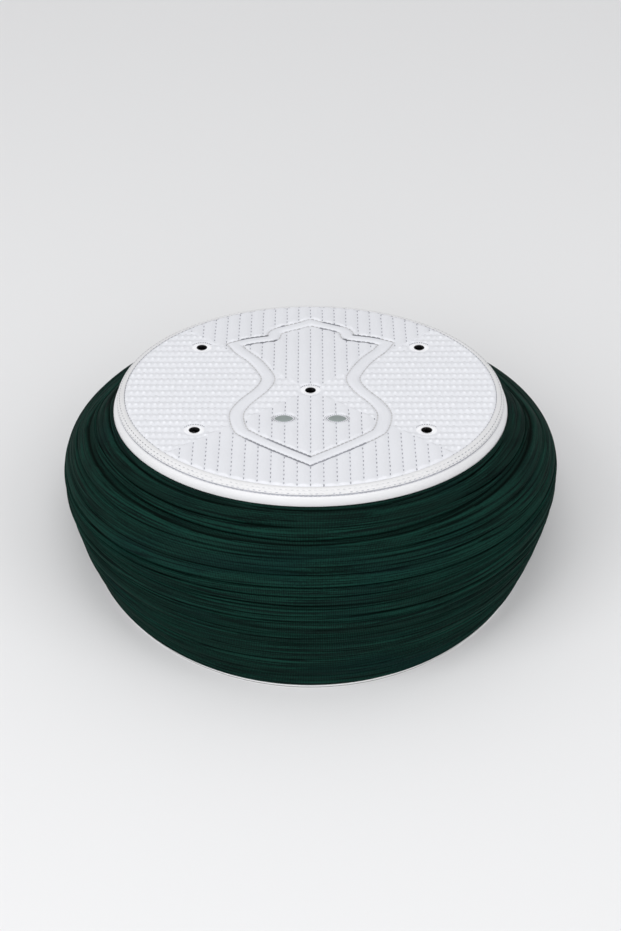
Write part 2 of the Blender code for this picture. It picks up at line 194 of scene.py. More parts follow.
class Recipe:
    """Node tree of one material, built round its Principled shader."""

    def __init__(self, name: str) -> None:
        """Start a material with its shader and output."""
        self.material = bpy.data.materials.new(name)
        self.material.use_nodes = True
        self.tree = self.material.node_tree
        self.shader = self.tree.nodes["Principled BSDF"]

    def node(self, kind: str, settings: dict[str, Any], inputs: dict[Any, Any]) -> bpy.types.Node:
        """Add a node.

        Args:
            kind: Type name of the node.
            settings: Properties to set first, such as a Math node's operation.
            inputs: Values or signals for its sockets, by name or number.

        Returns:
            The new node.
        """
        made = self.tree.nodes.new(kind)
        for name, value in settings.items():
            setattr(made, name, value)
        for key, value in inputs.items():
            self.feed(made.inputs[key], value)
        return made

    def feed(self, socket: bpy.types.NodeSocket, value: Any) -> None:
        """Link a signal to a socket, or set the socket's own value."""
        if isinstance(value, Signal):
            self.tree.links.new(value.socket, socket)
        else:
            socket.default_value = value

    def signal(self, node: bpy.types.Node, output: Any = 0) -> Signal:
        """Signal from one output of a node."""
        return Signal(self, node.outputs[output])

    def place(self) -> Signal:
        """Position on the object, in metres."""
        return self.signal(self.node("ShaderNodeTexCoord", {}, {}), "Object")

    def parts(self, vector: Signal) -> tuple[Signal, Signal, Signal]:
        """Three components of a vector."""
        node = self.node("ShaderNodeSeparateXYZ", {}, {0: vector})
        return tuple(self.signal(node, i) for i in range(3))

    def joined(self, x: Any, y: Any, z: Any) -> Signal:
        """Vector from three values."""
        return self.signal(self.node("ShaderNodeCombineXYZ", {}, {0: x, 1: y, 2: z}))

    def noise(self, vector: Signal, scale: float, detail: float) -> Signal:
        """Soft noise between 0 and 1."""
        inputs = {"Vector": vector, "Scale": scale, "Detail": detail}
        return self.signal(self.node("ShaderNodeTexNoise", {}, inputs))

    def channel(self, channel: Channel) -> Signal:
        """Value that the mesh holds in one of its channels."""
        node = self.node("ShaderNodeAttribute", {"attribute_name": channel.value}, {})
        return self.signal(node, "Fac")

    def map(self, name: str) -> tuple[Signal, Signal]:
        """The two coordinates of a map that the mesh holds."""
        u, v, _ = self.parts(self.signal(self.node("ShaderNodeUVMap", {"uv_map": name}, {})))
        return u, v

    def blend(self, share: Any, low: Any, high: Any) -> Signal:
        """Colour a share of the way between two colours."""
        ends = [value if isinstance(value, Signal) else (*value, 1.0) for value in (low, high)]
        inputs = {0: share, 6: ends[0], 7: ends[1]}
        return self.signal(self.node("ShaderNodeMix", {"data_type": "RGBA"}, inputs), 2)

    def bumped(self, height: Signal, distance: float) -> Signal:
        """Normal of a surface lifted by a height between 0 and 1 times a distance."""
        inputs = {"Height": height, "Distance": distance, "Strength": 1.0}
        return self.signal(self.node("ShaderNodeBump", {}, inputs))


@dataclass(frozen=True)
class Finish:
    """Finish of a surface: its name, the record's slot, colour and roughness."""

    name: str
    slot: Slot
    colour: Colour
    roughness: float
    specular: float = 0.25

    made: ClassVar[dict[str, bpy.types.Material]] = {}

    def material(self) -> bpy.types.Material:
        """Material of the finish, made once."""
        if self.name not in self.made:
            recipe = Recipe(self.name)
            recipe.feed(recipe.shader.inputs["Roughness"], self.roughness)
            recipe.feed(recipe.shader.inputs["Specular IOR Level"], self.specular)
            self.dress(recipe)
            self.made[self.name] = recipe.material
        return self.made[self.name]

    def dress(self, recipe: Recipe) -> None:
        """Add the finish's own nodes to its shader."""
        raise NotImplementedError

    def shade(self, factor: float) -> Colour:
        """The finish's colour made darker or lighter by a factor."""
        return tuple(factor * value for value in self.colour)


@dataclass(frozen=True)
class PleatedMuslin(Finish):
    """Fine dyed muslin: ribs across the pleats, streaks along them, and painted shade in its creases."""

    rib_count: int = 940
    thread_pitch: float = 0.45 * MM
    streak_scale: float = 1700.0
    stretch: float = 0.030
    line_pitches: tuple[float, float] = (1.25 * MM, 0.72 * MM)
    line_scale: float = 160.0
    line_drift: float = 7.0
    patch_scale: float = 45.0
    hue_scale: float = 28.0
    grain_scale: float = 1300.0
    grain_gain: float = 1.1
    relief: float = 0.12 * MM

    def dress(self, recipe: Recipe) -> None:
        """Add the weave, the pleats' own tones, painted shade in fine lines along the pleats and painted
        shade in the creases.
        """
        turn, across = recipe.map(WoundCloth.map_name)
        place = recipe.place()
        x, y, _ = recipe.parts(place)
        stretched = recipe.joined(x * self.stretch, y * self.stretch, across)
        streak = recipe.noise(stretched, self.streak_scale, 3.0)
        winding = recipe.noise(stretched, self.line_scale, 1.5) * self.line_drift
        presence = recipe.noise(stretched, 4 * self.line_scale, 1.0)
        # The fine lines stand for the thin shade in narrow creases: painted shade, also cut into the
        # bump.
        coarse, fine = (((across / pitch + winding) * FULL_TURN).sine() for pitch in self.line_pitches)
        line = (coarse * 3.2 - 2.2).clamped() * (presence * 6.0 - 2.0).clamped()
        line = line + (fine * 3.0 - 2.0).clamped() * (3.0 - presence * 5.0).clamped() * 0.7
        patch = recipe.noise(recipe.joined(x, y, across * 3.0), self.patch_scale, 1.0)
        hue = recipe.noise(recipe.joined(x, y, across * 2.5), self.hue_scale, 1.0)
        rib = (turn * (FULL_TURN * self.rib_count)).sine()
        thread = (across * (FULL_TURN / self.thread_pitch)).sine()
        tone = recipe.channel(Channel.TONE)
        crease_shade = recipe.channel(Channel.CREASE_SHADE)
        sheer = (patch * 3.0 - 1.0).clamped() * (1.15 - tone)
        ribbed = rib * (sheer * 0.9 + 0.28) * (streak * 1.8)
        grain = (recipe.noise(place, self.grain_scale, 2.0) - 0.5) * self.grain_gain
        # Painted shade: the fine lines darken the level; the tone also carries a painted highlight on
        # the crests.
        level = (tone * 0.65 + streak * 2.3 - 0.94 + ribbed + grain - line * 0.8).clamped()
        dark = (0.11 * self.colour[1], 0.35 * self.colour[1], 0.31 * self.colour[1])
        bright = (0.33 * self.colour[1], 1.90 * self.colour[1], 1.40 * self.colour[1])
        cloth = recipe.blend(level, dark, bright)
        bluish = (0.6 * self.colour[0], 0.80 * self.colour[1], 1.25 * self.colour[2])
        greyish = (1.5 * self.colour[0], 0.75 * self.colour[1], 0.85 * self.colour[2])
        cooled = recipe.blend((hue * 4.0 - 2.1).clamped() * 0.35, cloth, bluish)
        muted = recipe.blend(sheer * 0.4, cooled, greyish)
        # Painted shade: the cloth darkens in its creases, by crease_shade.
        folded = recipe.blend((crease_shade * 0.8).clamped(), muted, self.shade(0.16))
        recipe.feed(recipe.shader.inputs["Base Color"], folded)
        height = streak * 1.0 + rib * 0.15 * (0.5 + sheer) + thread * 0.05 - line * 1.2
        recipe.feed(recipe.shader.inputs["Normal"], recipe.bumped(height, self.relief))


@dataclass(frozen=True)
class WovenCotton(Finish):
    """Plain white cotton with a fine square weave and soft unevenness."""

    weave_pitch: float = 0.42 * MM
    relief: float = 0.025 * MM
    cloud_scale: float = 55.0
    fibre_scale: float = 1400.0
    puff_highlight_gain: float = 0.0
    fold_shade_gain: float = 0.0

    def dress(self, recipe: Recipe) -> None:
        """Add the weave, faint stains of shade, a painted highlight on puffed places and painted shade
        in sunk ones.
        """
        place = recipe.place()
        x, y, _ = recipe.parts(place)
        turn = FULL_TURN / self.weave_pitch
        weave = (x * turn).sine() * (y * turn).sine()
        cloud = recipe.noise(place, self.cloud_scale, 2.0)
        fibre = recipe.noise(place, self.fibre_scale, 2.0)
        painted_light = recipe.channel(Channel.PAINTED_LIGHT)
        level = (cloud * 0.55 + fibre * 0.45).clamped()
        cotton = recipe.blend(level, self.shade(0.94), self.shade(1.06))
        # Painted highlight: puffed places are made lighter in colour.
        if self.puff_highlight_gain:
            cotton = recipe.blend((painted_light * self.puff_highlight_gain).clamped(), cotton, self.shade(1.2))
        # Painted shade: the hem's fold is darkened nearly to black.
        if self.fold_shade_gain:
            cotton = recipe.blend((painted_light * -self.fold_shade_gain).clamped(), cotton, self.shade(0.05))
        recipe.feed(recipe.shader.inputs["Base Color"], cotton)
        height = weave * 0.25 + fibre * 0.9 + cloud * 0.3
        recipe.feed(recipe.shader.inputs["Normal"], recipe.bumped(height, self.relief))


@dataclass(frozen=True)
class SpunThread(Finish):
    """Sewing thread, lighter or darker by the tone that each stitch holds."""

    relief: float = 0.03 * MM
    darkest: float = 0.35
    fibre_scale: float = 2600.0

    def dress(self, recipe: Recipe) -> None:
        """Add the thread's tone and its twisted fibres."""
        fibre = recipe.noise(recipe.place(), self.fibre_scale, 1.0)
        level = (recipe.channel(Channel.TONE) + fibre * 0.2 - 0.1).clamped()
        thread = recipe.blend(level, self.shade(self.darkest), self.colour)
        recipe.feed(recipe.shader.inputs["Base Color"], thread)
        recipe.feed(recipe.shader.inputs["Normal"], recipe.bumped(fibre, self.relief))


@dataclass(frozen=True)
class SatinStitch(Finish):
    """Close embroidery threads laid side by side from end to end of a patch."""

    thread_pitch: float = 0.5 * MM
    fibre_scale: float = 900.0
    relief: float = 0.06 * MM

    def dress(self, recipe: Recipe) -> None:
        """Add the laid threads and their soft unevenness."""
        place = recipe.place()
        _, y, _ = recipe.parts(place)
        fibre = recipe.noise(place, self.fibre_scale, 2.0)
        thread = (y * (FULL_TURN / self.thread_pitch) + fibre * 2.0).sine() * 0.5 + 0.5
        level = (thread * 0.6 + fibre * 0.5 - 0.1).clamped()
        silk = recipe.blend(level, self.shade(0.75), self.shade(1.1))
        recipe.feed(recipe.shader.inputs["Base Color"], silk)
        recipe.feed(recipe.shader.inputs["Normal"], recipe.bumped(thread + fibre * 0.5, self.relief))


@dataclass(frozen=True)
class Finishes:
    """Every finish of the turban."""

    muslin: Finish = PleatedMuslin("green_muslin", Slot.CLOTH, (0.0036, 0.0200, 0.0142), 0.70,
                                   specular=0.03)
    # The quilting's puffs get a painted highlight.
    quilting: Finish = WovenCotton("quilted_cotton", Slot.QUILTED, (0.765, 0.775, 0.815), 0.80,
                                   puff_highlight_gain=0.9)
    band: Finish = WovenCotton("band_cotton", Slot.BAND, (0.750, 0.752, 0.768), 0.75)
    white_thread: Finish = SpunThread("white_thread", Slot.THREAD, (0.86, 0.865, 0.89), 0.55)
    # The eyelet's finish goes near black at tone 0: painted shade in the vent holes.
    eyelet_thread_bore_shade: Finish = SpunThread("eyelet_thread_bore_shade", Slot.THREAD, (0.86, 0.865, 0.89), 0.65,
                                       specular=0.2, darkest=0.004)
    grey_thread: Finish = SpunThread("grey_thread", Slot.THREAD, (0.46, 0.47, 0.52), 0.55)
    pale_thread: Finish = SpunThread("pale_thread", Slot.THREAD, (0.62, 0.62, 0.63), 0.55)
    edging: Finish = WovenCotton("edging_cotton", Slot.BAND, (0.748, 0.748, 0.760), 0.75,
                                 relief=0.12 * MM)
    # The hem's white is lighter than the band's: painted light from the bright floor.
    hem: Finish = WovenCotton("hem_cotton_painted_bounce", Slot.BAND, (0.91, 0.91, 0.92), 0.75, fold_shade_gain=1.0)
    satin: Finish = SatinStitch("grey_satin_stitch", Slot.OVAL, (0.300, 0.340, 0.335), 0.50)


@dataclass(frozen=True)
class CapForm:
    """Sizes that every piece of the turban is set out from."""

    clearance: float = 0.3 * MM
    foot_half_width: float = 86.0 * MM
    foot_half_depth: float = 102.2 * MM
    seam_half_width: float = 75.6 * MM
    seam_half_depth: float = 78.3 * MM
    wall_thickness: float = 2.2 * MM
    rim_height: float = 4.1 * MM
    rim_flare: float = 0.9 * MM
    side_flare: float = 0.6 * MM
    back_flare: float = 0.3 * MM
    cloth_height: float = 56.1 * MM
    front_rise: float = 9.8 * MM
    hem_height: float = 2.2 * MM
    hem_overhang: float = 1.9 * MM
    panel_thickness: float = 2.1 * MM
    panel_gap: float = 0.06 * MM
    binding_width: float = 2.9 * MM

    @property
    def foot_level(self) -> float:
        """Height at which the wall and the cloth stand on the hem."""
        return self.hem_height + self.clearance

    @property
    def binding_rise(self) -> float:
        """Height of the bound edge above the crown seam."""
        return self.panel_thickness + self.clearance

    @property
    def panel_half_width(self) -> float:
        """Half width of the quilted panel."""
        return self.seam_half_width - self.binding_width - self.panel_gap

    @property
    def panel_half_depth(self) -> float:
        """Half depth of the quilted panel."""
        return self.seam_half_depth - self.binding_width - self.panel_gap

    @property
    def crown_slope(self) -> float:
        """Rise of the crown towards the back, for each metre: it falls."""
        return -self.front_rise / self.seam_half_depth

    @property
    def crown_normal(self) -> Array:
        """Unit normal of the slanting crown."""
        return unit(np.array([0.0, self.front_rise / self.seam_half_depth, 1.0]))

    def behind(self, angle: Array) -> Array:
        """How far an angle belongs to the turban's back, from 0 to 1."""
        return smooth_step(np.sin(angle), -0.05, 0.40)

    def in_front(self, y: Array) -> Array:
        """How far a place on the crown's edge belongs to its front, from 0 to 1."""
        return smooth_step(-y / self.seam_half_depth, 0.45, 0.90)

    def flare(self, angle: Array) -> Array:
        """Distance by which the rim's foot stands outside its top."""
        free = self.rim_flare + self.side_flare * np.cos(angle) ** 2
        return mix(free, self.back_flare, self.behind(angle))

    def top_plane(self, y: Array) -> Array:
        """Height of the slanting plane that the cloth's top edge lies in."""
        return self.cloth_height - self.front_rise * y / self.seam_half_depth

    def crown_level(self, y: Array) -> Array:
        """Height of the crown's upper face, without its quilting."""
        return self.top_plane(y) + self.rim_height + self.binding_rise

    def wall(self, share: Any, angle: Array, outset: Any = 0.0, lift: Any = 0.0) -> Array:
        """Points on the cap's wall.

        Args:
            share: Share of the way up from the foot to the cloth's top edge.
            angle: Angle round the cap, from +X.
            outset: Distance outside the wall.
            lift: Distance above the place that the share gives.

        Returns:
            Points, with their coordinates along the last axis.
        """
        x = (mix(self.foot_half_width, self.seam_half_width, share) + outset) * np.cos(angle)
        y = (mix(self.foot_half_depth, self.seam_half_depth, share) + outset) * np.sin(angle)
        z = mix(self.foot_level, self.top_plane(y), share) + lift
        return np.stack(np.broadcast_arrays(x, y, z), axis=-1)


def net_faces(rows: int, columns: int, closed: bool) -> Array:
    """Quads of a net whose rows each run once round.

    Args:
        rows: Number of rows.
        columns: Number of points in a row.
        closed: Whether the last row meets the first.

    Returns:
        Four point numbers for each quad.
    """
    low = np.arange(rows if closed else rows - 1)[:, None]
    high = (low + 1) % rows
    here = np.arange(columns)[None, :]
    ahead = (here + 1) % columns
    low, high = low * columns, high * columns
    corners = [low + here, low + ahead, high + ahead, high + here]
    return np.stack(np.broadcast_arrays(*corners), axis=-1).reshape(-1, 4)


@dataclass
class Piece:
    """One visible piece: its mesh, finish, channels and the solids that it stands for."""

    name: str
    points: Array
    faces: list
    finish: Finish
    stands_for: tuple[str, ...] = ()
    channels: dict[Channel, Array] = field(default_factory=dict)
    corner_map: tuple[str, Array] | None = None

    def build(self) -> bpy.types.Object:
        """Make the object, dress it and seat it on the turban's body."""
        mesh = bpy.data.meshes.new(self.name)
        mesh.from_pydata(self.points.reshape(-1, 3).tolist(), [], self.faces)
        for channel, values in self.channels.items():
            layer = mesh.attributes.new(channel.value, "FLOAT", "POINT")
            layer.data.foreach_set("value", values.astype(np.float32).ravel())
        if self.corner_map is not None:
            name, places = self.corner_map
            mesh.uv_layers.new(name=name).uv.foreach_set("vector", places.astype(np.float32).ravel())
        self.turn_outwards(mesh)
        mesh.shade_smooth()
        mesh.materials.append(self.finish.material())
        made = bpy.data.objects.new(self.name, mesh)
        bpy.context.collection.objects.link(made)
        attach(made, "root")
        if self.stands_for:
            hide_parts(*self.stands_for)
        log.info("%s: %d faces", self.name, len(mesh.polygons))
        return made

    def turn_outwards(self, mesh: bpy.types.Mesh) -> None:
        """Make all the mesh's faces point out."""
        bm = bmesh.new()
        bm.from_mesh(mesh)
        bmesh.ops.recalc_face_normals(bm, faces=bm.faces)
        bm.to_mesh(mesh)
        bm.free()


@dataclass(frozen=True)
class Stitch:
    """Sizes of one kind of stitch: its period along a line, length, half thickness and lift."""

    period: float
    length: float
    radius: float
    sides: int = 6
    lift: float = 0.0

    # Rings of a stitch: share of its half length, share of its radius
    SECTIONS: ClassVar[list[tuple[float, float]]] = [
        (-0.8, 0.75),
        (-0.35, 1.0),
        (0.35, 1.0),
        (0.8, 0.75),
    ]

    def template(self) -> tuple[Array, list]:
        """Points and faces of one stitch that lies along +X, bowed up in its middle."""
        points = [(-1.0, 0.0, -1.0)]
        for along, radius in self.SECTIONS:
            for k in range(self.sides):
                turn = FULL_TURN * k / self.sides
                points.append((along, radius * math.cos(turn), radius * math.sin(turn) - along * along))
        points.append((1.0, 0.0, -1.0))
        last = len(points) - 1
        faces = []
        for k in range(self.sides):
            ahead = (k + 1) % self.sides
            faces.append((0, 1 + k, 1 + ahead))
            for ring in range(len(self.SECTIONS) - 1):
                low = 1 + ring * self.sides
                high = low + self.sides
                faces.append((low + k, low + ahead, high + ahead, high + k))
            end = last - self.sides
            faces.append((end + k, end + ahead, last))
        return np.array(points) * [self.length / 2, self.radius, self.radius], faces

    def sewn(self, centres: Array, directions: Array, normals: Array,
             tones: Array) -> tuple[Array, list, Array]:
        """Points, faces and tones of stitches laid at many places.

        Args:
            centres: Middle of each stitch, on the cloth.
            directions: Unit direction of each stitch.
            normals: Unit normal of the cloth at each stitch.
            tones: Tone of each stitch, from 0, dark, to 1, light.

        Returns:
            Points, faces and the tone of each point.
        """
        shape, faces = self.template()
        across = np.cross(normals, directions)
        frames = np.stack([directions, across, normals], axis=1)
        points = centres[:, None, :] + np.einsum("pk,nkc->npc", shape, frames)
        points = points + normals[:, None, :] * self.lift
        count = len(shape)
        joined = [tuple(n * count + i for i in face) for n in range(len(centres)) for face in faces]
        return points.reshape(-1, 3), joined, np.repeat(tones, count)


@dataclass
class Seam:
    """Collects the stitches of several lines into one piece."""

    name: str
    finish: Finish
    points: list = field(default_factory=list)
    faces: list = field(default_factory=list)
    tones: list = field(default_factory=list)
    total: int = 0

    def sew(self, stitch: Stitch, centres: Array, directions: Array, normals: Array,
            tones: Array) -> None:
        """Add stitches at the given places."""
        if not len(centres):
            return
        points, faces, shades = stitch.sewn(centres, unit(directions), unit(normals), tones)
        self.points.append(points)
        self.faces += [tuple(self.total + i for i in face) for face in faces]
        self.tones.append(shades)
        self.total += len(points)

    def build(self) -> bpy.types.Object:
        """Make the piece."""
        points = np.concatenate(self.points)
        tones = {Channel.TONE: np.concatenate(self.tones)}
        return Piece(self.name, points, self.faces, self.finish, channels=tones).build()


def places_along(line: Array, period: float, phase: float = 0.5) -> tuple[Array, Array]:
    """Evenly spaced places on a line of points.

    Args:
        line: Points of the line, in order.
        period: Distance between two places.
        phase: Share of a period before the first place.

    Returns:
        The places and the line's direction at each of them.
    """
    runs = np.diff(line, axis=0)
    lengths = np.linalg.norm(runs, axis=1)
    travelled = np.concatenate([[0.0], np.cumsum(lengths)])
    at = np.arange(phase * period, travelled[-1], period)
    places = np.stack([np.interp(at, travelled, line[:, k]) for k in range(line.shape[1])], axis=1)
    index = np.clip(np.searchsorted(travelled, at, side="right") - 1, 0, len(runs) - 1)
    return places, unit(runs[index])


@dataclass
class WoundCloth:
    """Long green cloth, gathered into fine pleats and wound round the wall in overlapping turns."""

    form: CapForm
    finish: Finish
    foot_overhang: float = 3.1 * MM
    top_overhang: float = 2.0 * MM
    bulge: float = 14.9 * MM
    fold_depth: float = 1.15 * MM
    pleat_depth: float = 0.66 * MM
    pleat_breadths: tuple[float, float] = (0.38 * MM, 1.10 * MM)
    layers: float = 2.3
    layer_spread: float = 0.28 * MM
    wander: float = 0.9 * MM
    back_overhang: float = 1.9 * MM
    back_slack: float = 2.5 * MM
    back_drop: float = 0.066
    edge_depth: float = 0.3 * MM
    sway: float = 0.30 * MM
    hollow_reach: float = 0.60 * MM
    stations: int = 512
    row_step: float = 0.165 * MM
    piece_gap: float = 0.02 * MM
    seed: int = 11

    map_name: ClassVar[str] = "cloth_map"

    # Fullness of the cloth: share of its height, share of its bulge
    SHAPE: ClassVar[list[tuple[float, float]]] = [
        (0.0, 0.0),
        (0.1, 0.236),
        (0.2, 0.458),
        (0.4, 0.838),
        (0.5, 0.956),
        (0.6, 0.995),
        (0.7, 0.911),
        (0.8, 0.711),
        (0.9, 0.405),
        (1.0, 0.0),
    ]

    # Deep folds between the turns, from the foot up: share of the cloth's height at the front, droop
    # towards the left and the right as shares of the height, depth, and whether fine pleats fill the
    # turn above or one smooth roll does
    FOLDS: ClassVar[list[tuple[float, float, float, float, bool]]] = [
        (0.000, 0.000, 0.000, 0.4, True),
        (0.038, 0.000, 0.000, 0.9, True),
        (0.076, 0.010, 0.000, 0.7, True),
        (0.147, -0.010, 0.020, 0.8, True),
        (0.209, 0.050, 0.070, 0.7, True),
        (0.318, 0.080, 0.030, 1.0, True),
        (0.390, 0.030, 0.080, 0.7, True),
        (0.467, 0.090, 0.063, 0.8, True),
        (0.511, 0.050, 0.040, 0.5, True),
        (0.552, 0.045, 0.010, 0.8, True),
        (0.622, 0.085, 0.040, 0.6, True),
        (0.668, 0.102, 0.055, 1.2, False),
        (0.727, 0.080, 0.055, 0.9, True),
        (0.814, 0.050, 0.034, 0.8, True),
        (0.878, 0.000, -0.020, 0.6, True),
        (0.925, 0.020, 0.020, 0.5, True),
        (1.000, 0.000, 0.000, 0.3, True),
    ]

    # Folds at which the cloth is parted into pieces
    PARTINGS: ClassVar[list[int]] = [0, 5, 11, 16]

    def skin(self, share: Array, angle: Array) -> Array:
        """Points on the smooth outer form of the cloth."""
        behind = self.form.behind(angle)
        overhang = mix(self.foot_overhang, mix(self.top_overhang, self.back_overhang, behind), share)
        slack = smooth_step(share, 0.60, 0.85) * (1 - smooth_step(share, 0.88, 0.98))
        bulge = self.bulge * curve_value(self.SHAPE, share)
        outset = overhang + bulge - self.back_slack * behind * slack
        return self.form.wall(self.lowered(share, angle), angle, outset)

    def lowered(self, share: Array, angle: Array) -> Array:
        """Share of the wall's height that the cloth reaches: its upper turns sit lower at the back."""
        return share - self.back_drop * self.form.behind(angle) * smooth_step(share, 0.62, 1.0)

    def normal(self, share: Array, angle: Array) -> Array:
        """Unit normals of the smooth outer form."""
        step = 0.01
        above, below = np.minimum(share + step, 1), np.maximum(share - step, 0)
        up = self.skin(above, angle) - self.skin(below, angle)
        ahead = self.skin(share, angle + step) - self.skin(share, angle - step)
        return unit(np.cross(ahead, up))

    def lining(self, share: Array, angle: Array) -> Array:
        """Points on the cloth's inner side, just off the wall and its flaring rim."""
        flare = self.form.flare(angle) * smooth_step(share, 0.8, 1.0)
        return self.form.wall(self.lowered(share, angle), angle, self.form.clearance + flare)

    def fold_shares(self, angle: Array) -> Array:
        """Share of the height at which each fold runs, at each angle."""
        rows = np.array(self.FOLDS)
        sideways = np.cos(angle) ** 2
        droop = np.where(np.cos(angle) < 0, rows[:, 1:2], rows[:, 2:3])
        return rows[:, :1] - droop * sideways

    def laid(self, level: Array, angle: Array) -> Array:
        """Share of the height of rows that follow the folds.

        Args:
            level: Share of the height at the front, for each row.
            angle: Angle of each column.

        Returns:
            Shares, a row for each level and a column for each angle.
        """
        shares = self.fold_shares(angle)
        levels = [row[0] for row in self.FOLDS]
        columns = [np.interp(level, levels, shares[:, k]) for k in range(len(angle))]
        return np.stack(columns, axis=1)

    def levels(self, first: int, last: int, length: float) -> Array:
        """Levels of the rows between two partings, closer together beside the folds."""
        rows = []
        for low, high in zip(self.FOLDS[first:last], self.FOLDS[first + 1 : last + 1]):
            count = max(6, round((high[0] - low[0]) * length / self.row_step))
            even = np.linspace(0, 1, count, endpoint=False)
            eased = even - 0.07 * np.sin(FULL_TURN * even)
            rows.append(mix(low[0], high[0], eased))
        return np.concatenate(rows + [np.array([self.FOLDS[last][0]])])

    def pleats(self, length: float, angle: Array) -> list[dict[str, Array]]:
        """Every pleat: its middle, half widths, height, depth and tone.

        Args:
            length: Length of the cloth's section from foot to top at the front.
            angle: Angle of each column.

        Returns:
            One record for each pleat, with lengths as distances up the section.
        """
        rng = np.random.default_rng(self.seed)
        made = []
        for low, high in zip(self.FOLDS, self.FOLDS[1:]):
            start, stop = low[0] * length, high[0] * length
            if not low[4]:
                made.append(self.pleat(rng, angle, (start + stop) / 2, 0.62 * (stop - start), 0.2, 0.95))
                continue
            turn_tone = rng.uniform(-0.15, 0.15)
            covered = 0.0
            while covered < self.layers * (stop - start):
                breadth = rng.uniform(*self.pleat_breadths) * rng.uniform(0.7, 1.0)
                middle = rng.uniform(start + 0.3 * breadth, stop - 0.3 * breadth)
                tone = rng.uniform(0.1, 0.8) + turn_tone
                made.append(self.pleat(rng, angle, middle, breadth, 1.0, tone))
                covered += 2 * breadth
        return made

    def pleat(self, rng: np.random.Generator, angle: Array, middle: float, breadth: float,
              freedom: float, tone: float) -> dict[str, Array]:
        """One pleat that rises from among the others, and sinks again, as it goes round.

        Args:
            rng: Source of its random shape.
            angle: Angle of each column.
            middle: Distance of its middle up the section.
            breadth: Half its width.
            freedom: How far it may wander and sink, from 0 to 1.
            tone: Lightness from 0 to 1.

        Returns:
            The pleat's record.
        """
        lean = rng.uniform(0.7, 1.3)
        swell = 1 + 0.25 * waves(rng, angle, (1, 2, 4, 7))
        rise = rng.uniform(-0.6, 0.4) + 1.3 * waves(rng, angle, (2, 3, 5, 7))
        drift = waves(rng, angle, (1, 2, 3, 4)) + 0.15 * waves(rng, angle, (9, 13, 17))
        return {
            "middle": middle + freedom * self.wander * drift,
            "below": breadth * lean * swell,
            "above": breadth * (2 - lean) * swell,
            "height": self.layer_spread * freedom * rise,
            "depth": self.pleat_depth * rng.uniform(0.6, 1.15),
            "tone": np.clip(tone + 0.2 * waves(rng, angle, (2, 3, 5)), 0, 1),
        }

    def hollowness(self, height: Array) -> Array:
        """How far each place lies below the mean height just above and below it."""
        reach = round(self.hollow_reach / self.row_step)
        window = 2 * reach + 1
        padded = np.pad(height, ((reach + 1, reach), (0, 0)), mode="edge")
        total = np.cumsum(padded, axis=0)
        return (total[window:] - total[:-window]) / window - height

    def relief(self, level: Array, angle: Array, length: float) -> tuple[Array, Array]:
        """Height of the folded surface above the smooth form, and the tone of its pleats.

        Args:
            level: Level of each row.
            angle: Angle of each column.
            length: Length of the cloth's section from foot to top at the front.

        Returns:
            Heights and tones, a row for each level and a column for each angle.
        """
        up = (level * length)[:, None]
        height = np.full((len(level), len(angle)), -self.fold_depth)
        tone = np.full_like(height, 0.4)
        for pleat in self.pleats(length, angle):
            away = up - pleat["middle"]
            reach = np.where(away < 0, pleat["below"], pleat["above"])
            arch = np.sqrt(np.clip(1 - np.abs(away / reach) ** 2.6, 0, 1))
            crest = np.where(arch > 0, pleat["height"] - pleat["depth"] * (1 - arch), -1.0)
            top = crest > height
            height = np.where(top, crest, height)
            tone = np.where(top, pleat["tone"], tone)
        rng = np.random.default_rng(self.seed + 1)
        sunk = np.zeros_like(height)
        for row in self.FOLDS:
            strength = self.fold_depth * row[3] * (0.85 + 0.25 * waves(rng, angle, (1, 2, 3)))
            away = up - row[0] * length
            fade = np.where(away > 0, np.exp(-away / (0.25 * MM)), np.exp(away / (0.55 * MM)))
            sunk = np.maximum(sunk, strength * fade)
        slow = sum(
            waves(rng, angle, (1, 2, 3)) * np.sin(math.pi * order * level)[:, None]
            for order in (1, 2, 3)
        )
        return height - sunk + self.sway * slow, tone

    def build(self) -> list[bpy.types.Object]:
        """Make the cloth's pieces, each a closed ring of turns from the wall outwards."""
        angle = np.arange(self.stations) * FULL_TURN / self.stations
        front = self.skin(np.linspace(0, 1, 60), np.full(60, -math.pi / 2))
        length = float(np.linalg.norm(np.diff(front, axis=0), axis=1).sum())
        made = []
        for number, (first, last) in enumerate(zip(self.PARTINGS, self.PARTINGS[1:]), start=1):
            level = self.levels(first, last, length)
            height, tone = self.relief(level, angle, length)
            height = mix(height, -self.edge_depth, smooth_step(level, 0.982, 1.0)[:, None])
            share = self.laid(level, angle)
            share[0] += self.piece_gap / length
            share[-1] -= self.piece_gap / length
            outer = self.skin(share, angle) + self.normal(share, angle) * height[..., None]
            inner = [self.lining(share[row], angle) for row in (-1, 0)]
            points = np.concatenate([outer, np.stack(inner)])
            hollow = self.hollowness(height)
            # Painted shade: crease_shade marks the hollows between pleats, to be darkened in colour.
            crease_shade = smooth_step(hollow, 0.05 * MM, 0.26 * MM)
            # Painted highlight: the tone is lightened on the crests that stand above their neighbours.
            tone = np.clip(tone + 0.35 * smooth_step(-hollow, 0.0, 0.20 * MM) - 0.1, 0, 1)
            across = np.concatenate([level * length, [level[-1] * length, level[0] * length]])
            made.append(self.piece(number, points, tone, crease_shade, across))
        return made

